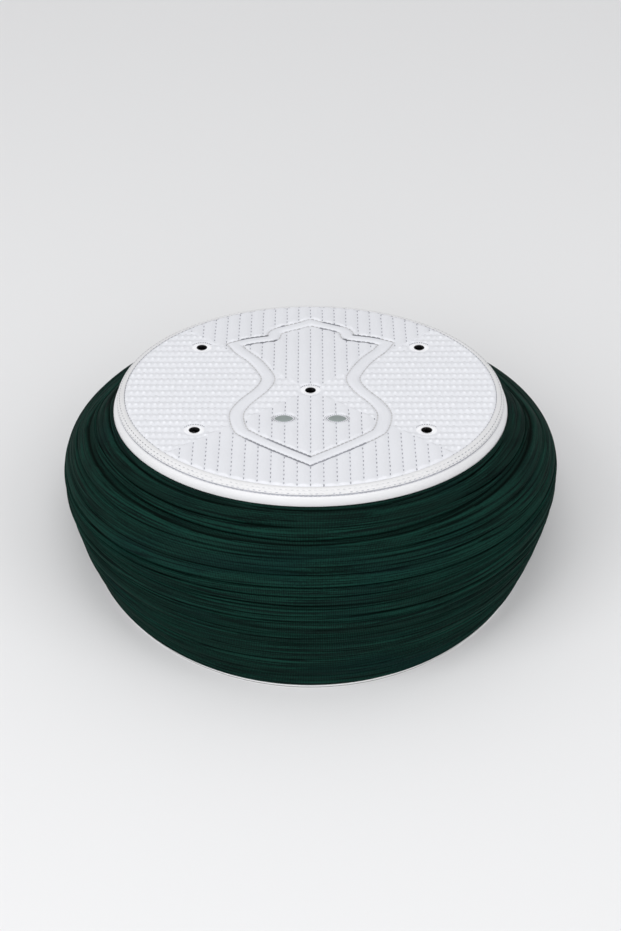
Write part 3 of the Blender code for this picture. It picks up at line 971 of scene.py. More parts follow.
    def piece(self, number: int, points: Array, tone: Array, crease_shade: Array,
              across: Array) -> bpy.types.Object:
        """Make one of the cloth's pieces.

        Args:
            number: Which piece it is, from the foot up.
            points: Rows of points, of which the last two line its inner side.
            tone: Tone of each point on its outer side, with a painted highlight on the crests.
            crease_shade: How far each point on its outer side lies in a hollow between pleats, where its
                finish paints shade.
            across: Distance of each row up the cloth's section.

        Returns:
            The piece.
        """
        rows = len(points)
        turns = np.arange(self.stations + 1) / self.stations
        low = np.arange(rows)
        high = (low + 1) % rows
        here = np.broadcast_to(turns[:-1], (rows, self.stations))
        ahead = np.broadcast_to(turns[1:], (rows, self.stations))
        v_low = np.broadcast_to(across[low][:, None], here.shape)
        v_high = np.broadcast_to(across[high][:, None], here.shape)
        corners = [(here, v_low), (ahead, v_low), (ahead, v_high), (here, v_high)]
        places = np.stack([np.stack(corner, axis=-1) for corner in corners], axis=2)
        piece = Piece(
            f"cloth_turns_{number}",
            points,
            net_faces(rows, self.stations, True).tolist(),
            self.finish,
            stands_for=("wound_cloth",),
            channels={
                Channel.TONE: np.concatenate([tone, np.full((2, self.stations), 0.5)]),
                # The inner side holds full painted shade.
                Channel.CREASE_SHADE: np.concatenate([crease_shade, np.ones((2, self.stations))]),
            },
            corner_map=(self.map_name, places),
        ).build()
        return piece


@dataclass
class QuiltedCrown:
    """Flat quilted top of the cap: square quilting, the motif's smooth band and five vent holes."""

    form: CapForm
    finish: Finish
    white_thread: Finish
    grey_thread: Finish
    pale_thread: Finish
    pitch: float = 4.88 * MM
    rise: float = 0.55 * MM
    row_rise: float = 0.22 * MM
    puff_pitch: float = 2.45 * MM
    puff_rise: float = 0.36 * MM
    steps: int = 11
    back_slope: float = 1.05
    front_slope: float = 0.95
    motif_half_width: float = 34.0 * MM
    motif_back_reach: float = 63.8 * MM
    motif_front_reach: float = 60.0 * MM
    motif_skew: float = 0.9 * MM
    motif_band: float = 5.4 * MM
    motif_rise: float = 0.45 * MM
    groove_depth: float = 0.32 * MM
    groove_width: float = 0.55 * MM
    vent_radius: float = 3.0 * MM
    vent_side_reach: float = 44.0 * MM
    vent_back_reach: float = 37.2 * MM
    vent_front_reach: float = 32.5 * MM
    vent_margin: float = 4.3 * MM
    oval_half_width: float = 3.9 * MM
    oval_half_depth: float = 2.8 * MM
    oval_side_reach: float = 10.2 * MM
    oval_forward: float = 23.4 * MM
    lengthwise_stitch: Stitch = Stitch(3.1 * MM, 1.8 * MM, 0.25 * MM)
    crosswise_stitch: Stitch = Stitch(2.45 * MM, 1.5 * MM, 0.16 * MM)
    edge_stitch: Stitch = Stitch(2.1 * MM, 1.4 * MM, 0.18 * MM, lift=0.05 * MM)
    motif_stitch: Stitch = Stitch(2.0 * MM, 2.2 * MM, 0.30 * MM, lift=0.10 * MM)
    heavy_stitch: Stitch = Stitch(2.0 * MM, 3.0 * MM, 0.44 * MM, lift=0.16 * MM)
    edge_stations: int = 384
    vent_stations: int = 40
    line_margin: float = 0.8 * MM
    end_margin: float = 0.9 * MM
    oval_reach: float = 1.25
    tone_spread: float = 0.08
    seed: int = 5

    # Right half of the motif's outer line, from its back point to its front point:
    # share of the half width, share of the reach (back positive, front negative), sharp corner or not
    OUTLINE: ClassVar[list[tuple[float, float, bool]]] = [
        (0.000, 1.000, True),
        (0.150, 0.948, False),
        (0.300, 0.905, False),
        (0.430, 0.865, False),
        (0.500, 0.815, False),
        (0.522, 0.755, True),
        (0.780, 0.715, False),
        (1.000, 0.650, True),
        (0.900, 0.525, False),
        (0.730, 0.385, False),
        (0.610, 0.235, False),
        (0.575, 0.140, False),
        (0.650, 0.020, False),
        (0.830, -0.160, False),
        (0.915, -0.330, False),
        (0.860, -0.540, False),
        (0.730, -0.645, False),
        (0.420, -0.805, False),
        (0.000, -1.000, True),
    ]

    def vents(self) -> list[tuple[str, float, float]]:
        """Name and place of each vent hole's eyelet."""
        side, back, front = self.vent_side_reach, self.vent_back_reach, -self.vent_front_reach
        return [
            ("eyelet_centre", 0.0, 0.0),
            ("eyelet_front_left", -side, front),
            ("eyelet_front_right", side, front),
            ("eyelet_back_left", -side, back),
            ("eyelet_back_right", side, back),
        ]

    def ovals(self) -> list[tuple[str, float, float]]:
        """Name and place of each grey oval."""
        return [
            ("oval_left", -self.oval_side_reach, -self.oval_forward),
            ("oval_right", self.oval_side_reach, -self.oval_forward),
        ]

    def motif_line(self, inset: float, step: float = 1.0 * MM) -> Array:
        """Closed line of the motif seen from above, a distance inside its outer line."""
        rows = []
        for across, along, sharp in self.OUTLINE:
            reach = self.motif_back_reach if along > 0 else self.motif_front_reach
            rows.append((np.array([across * self.motif_half_width, along * reach]), sharp))
        half: list[Array] = []
        run = [rows[0][0]]
        for point, sharp in rows[1:]:
            run.append(point)
            if sharp:
                half += self.curve_through(run, step)
                run = [point]
        right = np.array(half + [rows[-1][0]])
        left = right[-2:0:-1] * [-1, 1]
        line = np.concatenate([right, left])
        lean = np.clip(line[:, 1] / self.motif_back_reach, 0, None)
        line[:, 1] += self.motif_skew * line[:, 0] / self.motif_half_width * lean
        back = unit(line - np.roll(line, 1, axis=0))
        ahead = unit(np.roll(line, -1, axis=0) - line)
        mitre = unit(back + ahead)
        inward = np.stack([mitre[:, 1], -mitre[:, 0]], axis=1)
        square = np.stack([ahead[:, 1], -ahead[:, 0]], axis=1)
        stretch = np.maximum(0.5, (inward * square).sum(axis=1))
        inner = line + inward * (inset / stretch)[:, None]
        if inset == 0:
            return line
        deep = self.depth_inside_motif(inner[:, 0], inner[:, 1])
        return inner[deep > inset - 0.12 * MM]

    def curve_through(self, points: list[Array], step: float) -> list[Array]:
        """Points of a smooth curve through the given ones, about a step apart."""
        ends = [2 * points[0] - points[1], *points, 2 * points[-1] - points[-2]]
        made = []
        for i in range(len(points) - 1):
            before, start, stop, after = ends[i : i + 4]
            count = max(1, round(float(np.linalg.norm(stop - start)) / step))
            for k in range(count):
                t = k / count
                bend = 2 * before - 5 * start + 4 * stop - after
                turn = 3 * start - before - 3 * stop + after
                made.append((2 * start + (stop - before) * t + bend * t**2 + turn * t**3) / 2)
        return made

    def depth_inside_motif(self, x: Array, y: Array) -> Array:
        """Distance inside the motif's outer line, negative outside it."""
        line = self.motif_line(0.0)
        nearest = np.full(x.shape, np.inf)
        inside = np.zeros(x.shape, bool)
        for (x0, y0), (x1, y1) in zip(line, np.roll(line, -1, axis=0)):
            run_x, run_y = x1 - x0, y1 - y0
            along = np.clip(((x - x0) * run_x + (y - y0) * run_y) / (run_x**2 + run_y**2), 0, 1)
            nearest = np.minimum(nearest, np.hypot(x - x0 - along * run_x, y - y0 - along * run_y))
            if y0 != y1:
                crosses = (y0 > y) != (y1 > y)
                inside ^= crosses & (x < x0 + (y - y0) * run_x / run_y)
        return np.where(inside, nearest, -nearest)

    def quarter(self, x: Array, y: Array) -> Array:
        """Quarter of the crown that each place lies in."""
        slope = np.where(y > 0, self.back_slope, self.front_slope)
        ends = np.abs(y) > slope * np.abs(x)
        return np.where(ends, Quarter.FRONT_TO_BACK.value, Quarter.SIDE_TO_SIDE.value)

    def off_edge(self, x: Array, y: Array) -> Array:
        """Distance inside the panel's edge."""
        share = np.hypot(x / self.form.panel_half_width, y / self.form.panel_half_depth)
        return (1 - share) * self.form.panel_half_width

    def off_vents(self, x: Array, y: Array) -> Array:
        """Distance from the middle of the nearest vent hole."""
        return np.min([np.hypot(x - cx, y - cy) for _, cx, cy in self.vents()], axis=0)

    def off_ovals(self, x: Array, y: Array) -> Array:
        """Distance from the middle of the nearest oval, as a share of the oval's half size."""
        wide, deep = self.oval_half_width, self.oval_half_depth
        away = [np.hypot((x - cx) / wide, (y - cy) / deep) for _, cx, cy in self.ovals()]
        return np.min(away, axis=0)

    def relief(self, x: Array, y: Array) -> tuple[Array, Array]:
        """Height of the quilting above the crown's plain face, and how far it puffs up, which is shown
        as a painted highlight.
        """
        depth = self.depth_inside_motif(x, y)
        ahead = np.abs(np.sin(math.pi * x / self.pitch)) ** 0.8
        sideways = np.abs(np.sin(math.pi * y / self.pitch))
        rng = np.random.default_rng(self.seed)
        row = np.floor(y / self.pitch).astype(int) + 32
        bead = FULL_TURN * x / self.puff_pitch + rng.uniform(0, FULL_TURN, 64)[row]
        number = np.floor(bead / FULL_TURN).astype(int) + 32
        uneven = rng.uniform(0.6, 1.0, (64, 64))[row, number]
        puff = (0.5 - 0.5 * np.cos(bead)) * sideways**3 * uneven
        across = self.quarter(x, y) == Quarter.SIDE_TO_SIDE.value
        beaded = self.row_rise * sideways**0.8 + self.puff_rise * puff
        height = np.where(across, beaded, self.rise * ahead)
        # Painted highlight: the tops of the puffs are marked to be lighter in colour.
        painted_light = np.where(across, smooth_step(puff, 0.25, 0.9), 0.0)
        on_band = (depth > 0) & (depth < self.motif_band)
        share = np.clip(depth / self.motif_band, 0, 1)
        height = np.where(on_band, self.motif_rise * (1 - np.abs(2 * share - 1) ** 3), height)
        near_line = np.minimum(np.abs(depth), np.abs(depth - self.motif_band))
        near_line = np.minimum(near_line, np.abs(self.off_edge(x, y)))
        flat = smooth_step(near_line, 0.0, 1.3 * MM)
        flat = flat * smooth_step(self.off_vents(x, y), self.vent_margin, self.vent_margin + 1.5 * MM)
        flat = flat * smooth_step(self.off_ovals(x, y), 1.0, 1.5)
        groove = self.groove_depth * np.exp(-((near_line / self.groove_width) ** 2))
        return height * flat - groove, painted_light * flat * ~on_band

    def surface(self, x: Array, y: Array) -> Array:
        """Points on the quilted surface at places seen from above."""
        height, _ = self.relief(x, y)
        return np.stack([x, y, self.form.crown_level(y) + height], axis=-1)

    def ring(self, cx: float, cy: float, half_width: float, half_depth: float, count: int) -> Array:
        """Places once round an oval or a circle."""
        turn = np.arange(count) * FULL_TURN / count
        return np.stack([cx + half_width * np.cos(turn), cy + half_depth * np.sin(turn)], axis=1)

    def edge(self, inset: float = 0.0) -> Array:
        """Places once round the panel's edge, a distance inside it."""
        width, depth = self.form.panel_half_width - inset, self.form.panel_half_depth - inset
        return self.ring(0, 0, width, depth, self.edge_stations)

    def rims(self) -> list[Array]:
        """Edge of the panel and of each vent hole, seen from above."""
        rims = [self.edge()]
        for _, x, y in self.vents():
            rims.append(self.ring(x, y, self.vent_radius, self.vent_radius, self.vent_stations))
        return rims

    def on_panel(self, x: Array, y: Array, margin: float) -> Array:
        """Which places lie on the panel, a margin clear of its edge and its vent holes."""
        hole = self.vent_radius * math.cos(math.pi / self.vent_stations)
        return (self.off_edge(x, y) > margin) & (self.off_vents(x, y) > hole + margin)

    def round_edges(self, rims: list[Array], start: int) -> list[tuple[int, int]]:
        """Pairs of neighbouring places round each rim, numbered from a start."""
        edges = []
        for rim in rims:
            size = len(rim)
            edges += [(start + k, start + (k + 1) % size) for k in range(size)]
            start += size
        return edges

    def triangles(self, places: Array, edges: list, keep: Callable[[Array, Array], Array]) -> Array:
        """Triangles of a flat net, where the test of their middles allows one.

        Args:
            places: Places seen from above.
            edges: Pairs of places that the net keeps joined.
            keep: Test of middles, from their two coordinates.

        Returns:
            Three place numbers for each triangle.
        """
        result = delaunay_2d_cdt([Vector(p) for p in places.tolist()], edges, [], 0, 1e-7)
        source = [origins[0] for origins in result[3]]
        found = np.array([[source[i] for i in corners] for corners in result[2]])
        middle = places[found].mean(axis=1)
        return found[keep(middle[:, 0], middle[:, 1])]

    def upper_net(self, rims: list[Array]) -> tuple[Array, list]:
        """Places and faces of the upper side: square cells inside, triangles along the rims."""
        step = self.pitch / self.steps
        reach = math.ceil(self.form.panel_half_depth / step) + 1
        ticks = np.arange(-reach, reach + 1) * step
        x, y = np.meshgrid(ticks, ticks, indexing="ij")
        inside = self.on_panel(x, y, 0.45 * step)
        cells = inside[:-1, :-1] & inside[1:, :-1] & inside[1:, 1:] & inside[:-1, 1:]
        count = len(ticks)
        i, j = np.nonzero(cells)
        low, high = i * count + j, (i + 1) * count + j
        quads = np.stack([low, high, high + 1, low + 1], axis=1)
        used, numbers = np.unique(quads, return_inverse=True)
        quads = numbers.reshape(-1, 4)
        grid = np.stack([x.ravel()[used], y.ravel()[used]], axis=1)
        sides = np.concatenate([quads[:, [k, (k + 1) % 4]] for k in range(4)])
        order = np.sort(sides, axis=1)
        pairs, times = np.unique(order, axis=0, return_counts=True)
        border = pairs[times == 1]
        on_border = np.unique(border)
        where = {int(v): k for k, v in enumerate(on_border)}
        places = np.concatenate([grid[on_border], *rims])
        edges = [(where[int(a)], where[int(b)]) for a, b in border]
        edges += self.round_edges(rims, len(on_border))

        def in_strip(mx: Array, my: Array) -> Array:
            """Which middles lie between the cells and the rims."""
            a = np.clip(np.floor(mx / step).astype(int) + reach, 0, count - 2)
            b = np.clip(np.floor(my / step).astype(int) + reach, 0, count - 2)
            return self.on_panel(mx, my, 0.0) & ~cells[a, b]

        strip = self.triangles(places, edges, in_strip)
        numbers = np.concatenate([on_border, len(grid) + np.arange(len(places) - len(on_border))])
        faces = quads.tolist() + numbers[strip].tolist()
        return np.concatenate([grid, *rims]), faces

    def build(self) -> bpy.types.Object:
        """Make the quilted panel as one closed mesh."""
        rims = self.rims()
        places, faces = self.upper_net(rims)
        height, painted_light = self.relief(places[:, 0], places[:, 1])
        top = np.concatenate([places, (self.form.crown_level(places[:, 1]) + height)[:, None]], axis=1)
        rim_places = np.concatenate(rims)
        inner = self.ring(0, 0, self.form.panel_half_width / 2, self.form.panel_half_depth / 2, 24)
        below = np.concatenate([rim_places, inner])
        edges = self.round_edges(rims, 0)
        under = self.triangles(below, edges, lambda x, y: self.on_panel(x, y, 0.0))
        level = self.form.crown_level(below[:, 1]) - self.form.panel_thickness
        bottom = np.concatenate([below, level[:, None]], axis=1)
        low = len(places)
        high = low - len(rim_places)
        faces += (under + low).tolist()
        faces += [(high + here, high + ahead, low + ahead, low + here) for here, ahead in edges]
        piece = Piece(
            "quilted_crown",
            np.concatenate([top, bottom]),
            faces,
            self.finish,
            stands_for=("crown_panel",),
            channels={Channel.PAINTED_LIGHT: np.concatenate([painted_light, np.zeros(len(bottom))])},
        ).build()
        return piece

    def clear_places(self, x: Array, y: Array, quarter: Quarter) -> Array:
        """Which places on a quilting line are stitched."""
        depth = self.depth_inside_motif(x, y)
        clear = self.quarter(x, y) == quarter.value
        clear &= (depth < -self.line_margin) | (depth > self.motif_band + self.line_margin)
        clear &= self.off_edge(x, y) > self.end_margin
        clear &= self.off_vents(x, y) > self.vent_margin + self.line_margin
        return clear & (self.off_ovals(x, y) > self.oval_reach)

    def sew_quilting(self) -> None:
        """Sew the quilting's straight lines, grey from front to back and pale from side to side."""
        rng = np.random.default_rng(self.seed + 1)
        count = int(self.form.panel_half_depth / self.pitch)
        lengthwise = Seam("lengthwise_stitches", self.grey_thread)
        crosswise = Seam("crosswise_stitches", self.white_thread)
        kinds = [
            (Quarter.FRONT_TO_BACK, self.lengthwise_stitch, lengthwise, 0.55),
            (Quarter.SIDE_TO_SIDE, self.crosswise_stitch, crosswise, 0.6),
        ]
        for quarter, stitch, seam, tone in kinds:
            for n in range(-count, count + 1):
                along = np.arange(-self.form.panel_half_depth, self.form.panel_half_depth, stitch.period)
                along = along + rng.uniform(0, stitch.period) + rng.normal(0, 0.06 * MM, len(along))
                across = np.full(len(along), n * self.pitch) + rng.normal(0, 0.05 * MM, len(along))
                ahead = quarter is Quarter.FRONT_TO_BACK
                x, y = (across, along) if ahead else (along, across)
                keep = self.clear_places(x, y, quarter)
                centres = self.surface(x[keep], y[keep])
                run = [0.0, 1.0, self.form.crown_slope] if ahead else [1.0, 0.0, 0.0]
                directions = np.broadcast_to(np.array(run), centres.shape)
                normals = np.broadcast_to(self.form.crown_normal, centres.shape)
                tones = tone + rng.normal(0, self.tone_spread, len(centres))
                seam.sew(stitch, centres, directions, normals, tones)
            seam.build()

    def laid_along(self, line: Array, period: float) -> tuple[Array, Array, Array]:
        """Middles, directions and normals of the stitches on a closed line seen from above."""
        places, runs = places_along(np.concatenate([line, line[:1]]), period)
        centres = self.surface(places[:, 0], places[:, 1])
        directions = np.concatenate([runs, runs[:, 1:] * self.form.crown_slope], axis=1)
        return centres, directions, np.broadcast_to(self.form.crown_normal, centres.shape)

    def sew_motif(self) -> None:
        """Sew the two lines of the motif, of heavier thread at its back and front point, with painted
        shade darkening it there.
        """
        rng = np.random.default_rng(self.seed + 2)
        seam = Seam("motif_shaded_stitches", self.grey_thread)
        pale = Seam("motif_pale_stitches", self.pale_thread)
        for inset in (0.0, self.motif_band):
            laid = self.laid_along(self.motif_line(inset), self.motif_stitch.period)
            x, y, _ = laid[0].T
            # Painted shade: stitches running side to side on the back half, and round the front point,
            # most on its left, are darkened and sewn in the grey thread.
            level = smooth_step(np.abs(laid[1][:, 0]), 0.80, 0.96) * (y > 0)
            front = smooth_step(-y / self.motif_front_reach, 0.55, 0.75)
            front = front * np.where(x < 0, 1.0, 0.35 if inset else 0.6)
            heavy_and_shaded = np.maximum(level, front) >= 0.5
            tones = 0.85 - np.maximum(0.85 * level, 0.6 * front)
            tones = tones + rng.normal(0, self.tone_spread, len(tones))
            pale.sew(self.motif_stitch, *(part[~heavy_and_shaded] for part in (*laid, tones)))
            seam.sew(self.heavy_stitch, *(part[heavy_and_shaded] for part in (*laid, tones)))
        seam.build()
        pale.build()

    def sew_edge(self) -> None:
        """Sew the line that ends the quilting round the panel's edge."""
        rng = np.random.default_rng(self.seed + 3)
        seam = Seam("quilting_end_stitches", self.grey_thread)
        laid = self.laid_along(self.edge(0.10 * MM), self.edge_stitch.period)
        tones = 0.45 + rng.normal(0, self.tone_spread, len(laid[0]))
        shown = rng.uniform(0, 1, len(tones)) > self.form.in_front(laid[0][:, 1])
        seam.sew(self.edge_stitch, *(part[shown] for part in (*laid, tones)))
        seam.build()


@dataclass
class EdgeBinding:
    """Padded band rolled over the crown's edge, with two lines of stitches near the seam."""

    form: CapForm
    finish: Finish
    thread: Finish
    pale_thread: Finish
    steps: int = 22
    stations: int = 384
    puff: float = 0.16 * MM
    tuck: float = 0.40 * MM
    seam_shares: tuple[float, float] = (0.45, 0.78)
    seed: int = 21

    # Tone of each row of stitches at the back and at the front, darker towards the back as painted
    # shade, and how many turn pale at the front
    SHADES: ClassVar[dict[float, tuple[float, float, float]]] = {
        0.45: (0.30, 0.90, 1.0),
        0.78: (0.55, 0.95, 0.45),
        1.0: (0.65, 0.95, 0.0),
    }

    def section(self, share: Array) -> tuple[Array, Array, Array]:
        """Outset, rise and outward turn of the rolled surface, from its top to the seam."""
        turn = mix(math.pi / 2, 0.0, share)
        width, rise = self.form.binding_width, self.form.binding_rise
        stops = np.array([0.0, *self.seam_shares, 1.0])
        lobe = np.searchsorted(stops, share, side="right").clip(1, len(stops) - 1)
        within = (share - stops[lobe - 1]) / (stops[lobe] - stops[lobe - 1])
        lift = self.puff * (np.abs(np.sin(math.pi * within)) ** 0.7 - 0.6)
        tucked = self.tuck * smooth_step(share, 0.88, 1.0)
        outset = width * (np.cos(turn) - 1) + lift * np.cos(turn) - tucked
        level = rise * np.sin(turn) + lift * np.sin(turn)
        return outset, level, turn

    def build(self) -> bpy.types.Object:
        """Make the band."""
        angle = np.arange(self.stations) * FULL_TURN / self.stations
        shares = np.linspace(0, 1, self.steps + 1)
        outsets, levels, _ = self.section(shares)
        rows = [
            self.form.wall(1.0, angle, outset, self.form.rim_height + level)
            for outset, level in zip(outsets, levels)
        ]
        rows.append(self.form.wall(1.0, angle, -self.form.binding_width, self.form.rim_height))
        faces = net_faces(len(rows), self.stations, True).tolist()
        channels = {Channel.PAINTED_LIGHT: np.zeros(len(rows) * self.stations)}
        stands_for = ("edge_binding",)
        piece = Piece("edge_band", np.stack(rows), faces, self.finish, stands_for, channels).build()
        return piece

    def sew(self) -> None:
        """Sew the two lines of stitches and the seam's own, with painted shade that darkens them away
        from the front.
        """
        rng = np.random.default_rng(self.seed)
        seam = Seam("edge_band_stitches", self.thread)
        pale = Seam("edge_band_pale_stitches", self.pale_thread)
        angle = np.linspace(0, FULL_TURN, 4 * self.stations + 1)
        rows = [(share, Stitch(2.1 * MM, 1.4 * MM, 0.19 * MM)) for share in self.seam_shares]
        # The seam's own row is real seam thread, and, thick and dark, it also paints the shade of the
        # tuck beside it.
        rows.append((1.0, Stitch(1.7 * MM, 2.1 * MM, 0.40 * MM, lift=0.18 * MM)))
        for share, stitch in rows:
            outset, level, turn = (float(v) for v in self.section(np.array(share)))
            line = self.form.wall(1.0, angle, outset, self.form.rim_height + level)
            centres, directions = places_along(line, stitch.period, rng.uniform(0, 1))
            square = [self.form.seam_half_width**2, self.form.seam_half_depth**2]
            level_out = unit(centres[:, :2] / square)
            out = np.concatenate([level_out, np.zeros((len(centres), 1))], axis=1)
            normals = out * math.cos(turn) + self.form.crown_normal * math.sin(turn)
            front = self.form.in_front(centres[:, 1])
            low, high, hidden = self.SHADES[share]
            # Painted shade: the stitches' tones darken from the front towards the back.
            tones = mix(low, high, front) + rng.normal(0, 0.1, len(centres))
            shown = rng.uniform(0, 1, len(centres)) >= hidden * front
            for line_seam, chosen, lighter in ((seam, shown, 0.0), (pale, ~shown, -0.35)):
                picked = (part[chosen] for part in (centres, directions, normals))
                line_seam.sew(stitch, *picked, tones[chosen] + lighter)
        seam.build()
        pale.build()


@dataclass
class SideBand:
    """Wall of the cap: a plain white band that shows as a rim above the wound cloth."""

    form: CapForm
    finish: Finish
    stations: int = 384
    rim_steps: int = 12
    wall_steps: int = 16
    fullness: float = 0.30 * MM
    ripple: float = 0.05 * MM
    tuck: float = 0.45 * MM
    seed: int = 31

    def build(self) -> bpy.types.Object:
        """Make the wall, with a softly rounded rim."""
        rng = np.random.default_rng(self.seed)
        angle = np.arange(self.stations) * FULL_TURN / self.stations
        top = self.form.rim_height - self.form.clearance
        uneven = waves(rng, angle, (2, 3, 5, 9, 14))
        flare = self.form.flare(angle)
        shares = np.linspace(0, 1, self.wall_steps)
        rows = [self.form.wall(share, angle, flare * smooth_step(share, 0.8, 1.0)) for share in shares]
        for share in np.linspace(0, 1, self.rim_steps + 1)[1:]:
            swell = (self.fullness + self.ripple * uneven) * math.sin(math.pi * share)
            tucked = self.tuck * max(0.0, (share - 0.8) / 0.2) ** 2
            rows.append(self.form.wall(1.0, angle, swell + flare * (1 - share) - tucked, top * share))
        inside = -self.form.wall_thickness
        rows.append(self.form.wall(1.0, angle, inside, top))
        rows += [self.form.wall(share, angle, inside) for share in np.linspace(1, 0, self.wall_steps)]
        faces = net_faces(len(rows), self.stations, True).tolist()
        channels = {Channel.PAINTED_LIGHT: np.zeros(len(rows) * self.stations)}
        stands_for = ("side_band",)
        piece = Piece("side_wall", np.stack(rows), faces, self.finish, stands_for, channels).build()
        return piece


@dataclass
class FootHem:
    """Folded tape round the foot of the wall, on which the turban stands."""

    form: CapForm
    finish: Finish
    stations: int = 384
    corner_steps: int = 5
    corner: float = 0.22 * MM
    fold_level: float = 0.57 * MM
    fold_depth: float = 0.60 * MM
    fold_width: float = 0.34 * MM

    def section(self) -> list[tuple[float, float, float]]:
        """Outset, height and depth in the fold round the section of the tape's two layers; the depth
        sets the painted shade in the fold.
        """
        low, high = -self.form.wall_thickness, self.form.hem_overhang
        top = self.form.hem_height
        corners = [
            (high - self.corner, self.corner, -math.pi / 2),
            (high - self.corner, top - self.corner, 0.0),
            (low + self.corner, top - self.corner, math.pi / 2),
            (low + self.corner, self.corner, math.pi),
        ]
        rows = []
        for outset, level, start in corners:
            for k in range(self.corner_steps + 1):
                turn = start + math.pi / 2 * k / self.corner_steps
                out, up = self.corner * math.cos(turn), self.corner * math.sin(turn)
                rows.append((outset + out, level + up, 0.0))
        fold = []
        for share in np.linspace(-0.9, 0.9, 9):
            depth = math.cos(math.pi / 2 * share) ** 2
            outset, level = high - self.fold_depth * depth, self.fold_level + self.fold_width * share
            fold.append((outset, level, depth))
        first = self.corner_steps + 1
        return rows[:first] + fold + rows[first:]

    def build(self) -> bpy.types.Object:
        """Make the hem."""
        angle = np.arange(self.stations) * FULL_TURN / self.stations
        rows = []
        painted_light = []
        for outset, level, depth in self.section():
            ring = self.form.wall(0.0, angle, outset)
            ring[:, 2] = level
            rows.append(ring)
            # Painted shade: the fold's depth darkens the tape there.
            painted_light.append(np.full(self.stations, -depth))
        faces = net_faces(len(rows), self.stations, True).tolist()
        channels = {Channel.PAINTED_LIGHT: np.concatenate(painted_light)}
        stands_for = ("bottom_hem",)
        piece = Piece("foot_hem", np.stack(rows), faces, self.finish, stands_for, channels).build()
        return piece


@dataclass
class Eyelet:
    """Buttonhole-stitched ring round a vent hole, of many radial threads."""

    form: CapForm
    finish: Finish
    ring_thread: Finish
    name: str
    x: float
    y: float
    bore: float = 2.0 * MM
    tube: float = 2.7 * MM
    reach: float = 4.15 * MM
    thickness: float = 0.30 * MM
    bore_shade_reach: float = 2.15 * MM
    flange_level: float = -0.12 * MM
    hole_stretch: float = 1.14
    looseness: float = 0.16 * MM
    thread_relief: float = 0.22 * MM
    threads: int = 44
    per_thread: int = 4
    seed: int = 41

    def build(self) -> bpy.types.Object:
        """Make the thread-worked ring and the small stitches that hold it down."""
        rng = np.random.default_rng(self.seed + int(1e5 * abs(self.x) + 3e5 * abs(self.y)) % 97)
        count = self.threads * self.per_thread
        angle = np.arange(count) * FULL_TURN / count
        ridge = np.abs(np.sin(self.threads * angle / 2)) ** 0.6
        loose = np.repeat(rng.uniform(-1, 1, self.threads), self.per_thread)
        middle = (self.reach + self.bore) / 2
        half = (self.reach - self.bore) / 2
        foot = -self.form.panel_thickness
        rows = [(self.bore, foot, 0.0), (self.tube, foot, 0.0), (self.tube, self.flange_level, 0.0)]
        for turn in np.linspace(0, math.pi, 11):
            rise = self.flange_level + self.thickness * math.sin(turn)
            rows.append((middle + half * math.cos(turn), rise, math.sin(turn)))
        rings = []
        for radius, rise, part in rows:
            ragged = self.looseness * loose * max(0.0, radius / self.reach - 0.6)
            out = radius + ragged * (part < 0.95)
            lift = rise - self.thread_relief * part * (1 - ridge)
            stretch = self.hole_stretch if radius < self.tube else 1.0
            x = self.x + out * np.cos(angle)
            y = self.y + out * stretch * np.sin(angle)
            rings.append(np.stack([x, y, self.form.crown_level(y) + lift], axis=-1))
        faces = net_faces(len(rings), count, True).tolist()
        # Painted shade: the bore and tube rows, inside bore_shade_reach, take tone 0 and turn near black
        # as the hole's shade.
        pale = [float(row[0] > self.bore_shade_reach and row[1] > -self.thickness) for row in rows]
        tones = {Channel.TONE: np.repeat(pale, count)}
        name = f"thread_{self.name}"
        piece = Piece(name, np.stack(rings), faces, self.finish, (self.name,), tones).build()
        self.sew()
        return piece

    def sew(self) -> bpy.types.Object:
        """Sew the small stitches along the eyelet's far side, whose dark tone is partly painted shade of
        the ring's edge.
        """
        stitch = Stitch(0.95 * MM, 0.62 * MM, 0.15 * MM)
        seam = Seam(f"{self.name}_stitches", self.ring_thread)
        radius = self.reach + 0.15 * MM
        angle = np.linspace(0.08, 0.42, 49) * FULL_TURN
        x, y = self.x + radius * np.cos(angle), self.y + radius * np.sin(angle)
        line = np.stack([x, y, self.form.crown_level(y) + 0.08 * MM], axis=1)
        centres, directions = places_along(line, stitch.period)
        normals = np.broadcast_to(self.form.crown_normal, centres.shape)
        # Dark tone 0.2: real needle holes, and painted shade of the ring's far edge.
        seam.sew(stitch, centres, directions, normals, np.full(len(centres), 0.2))
        return seam.build()


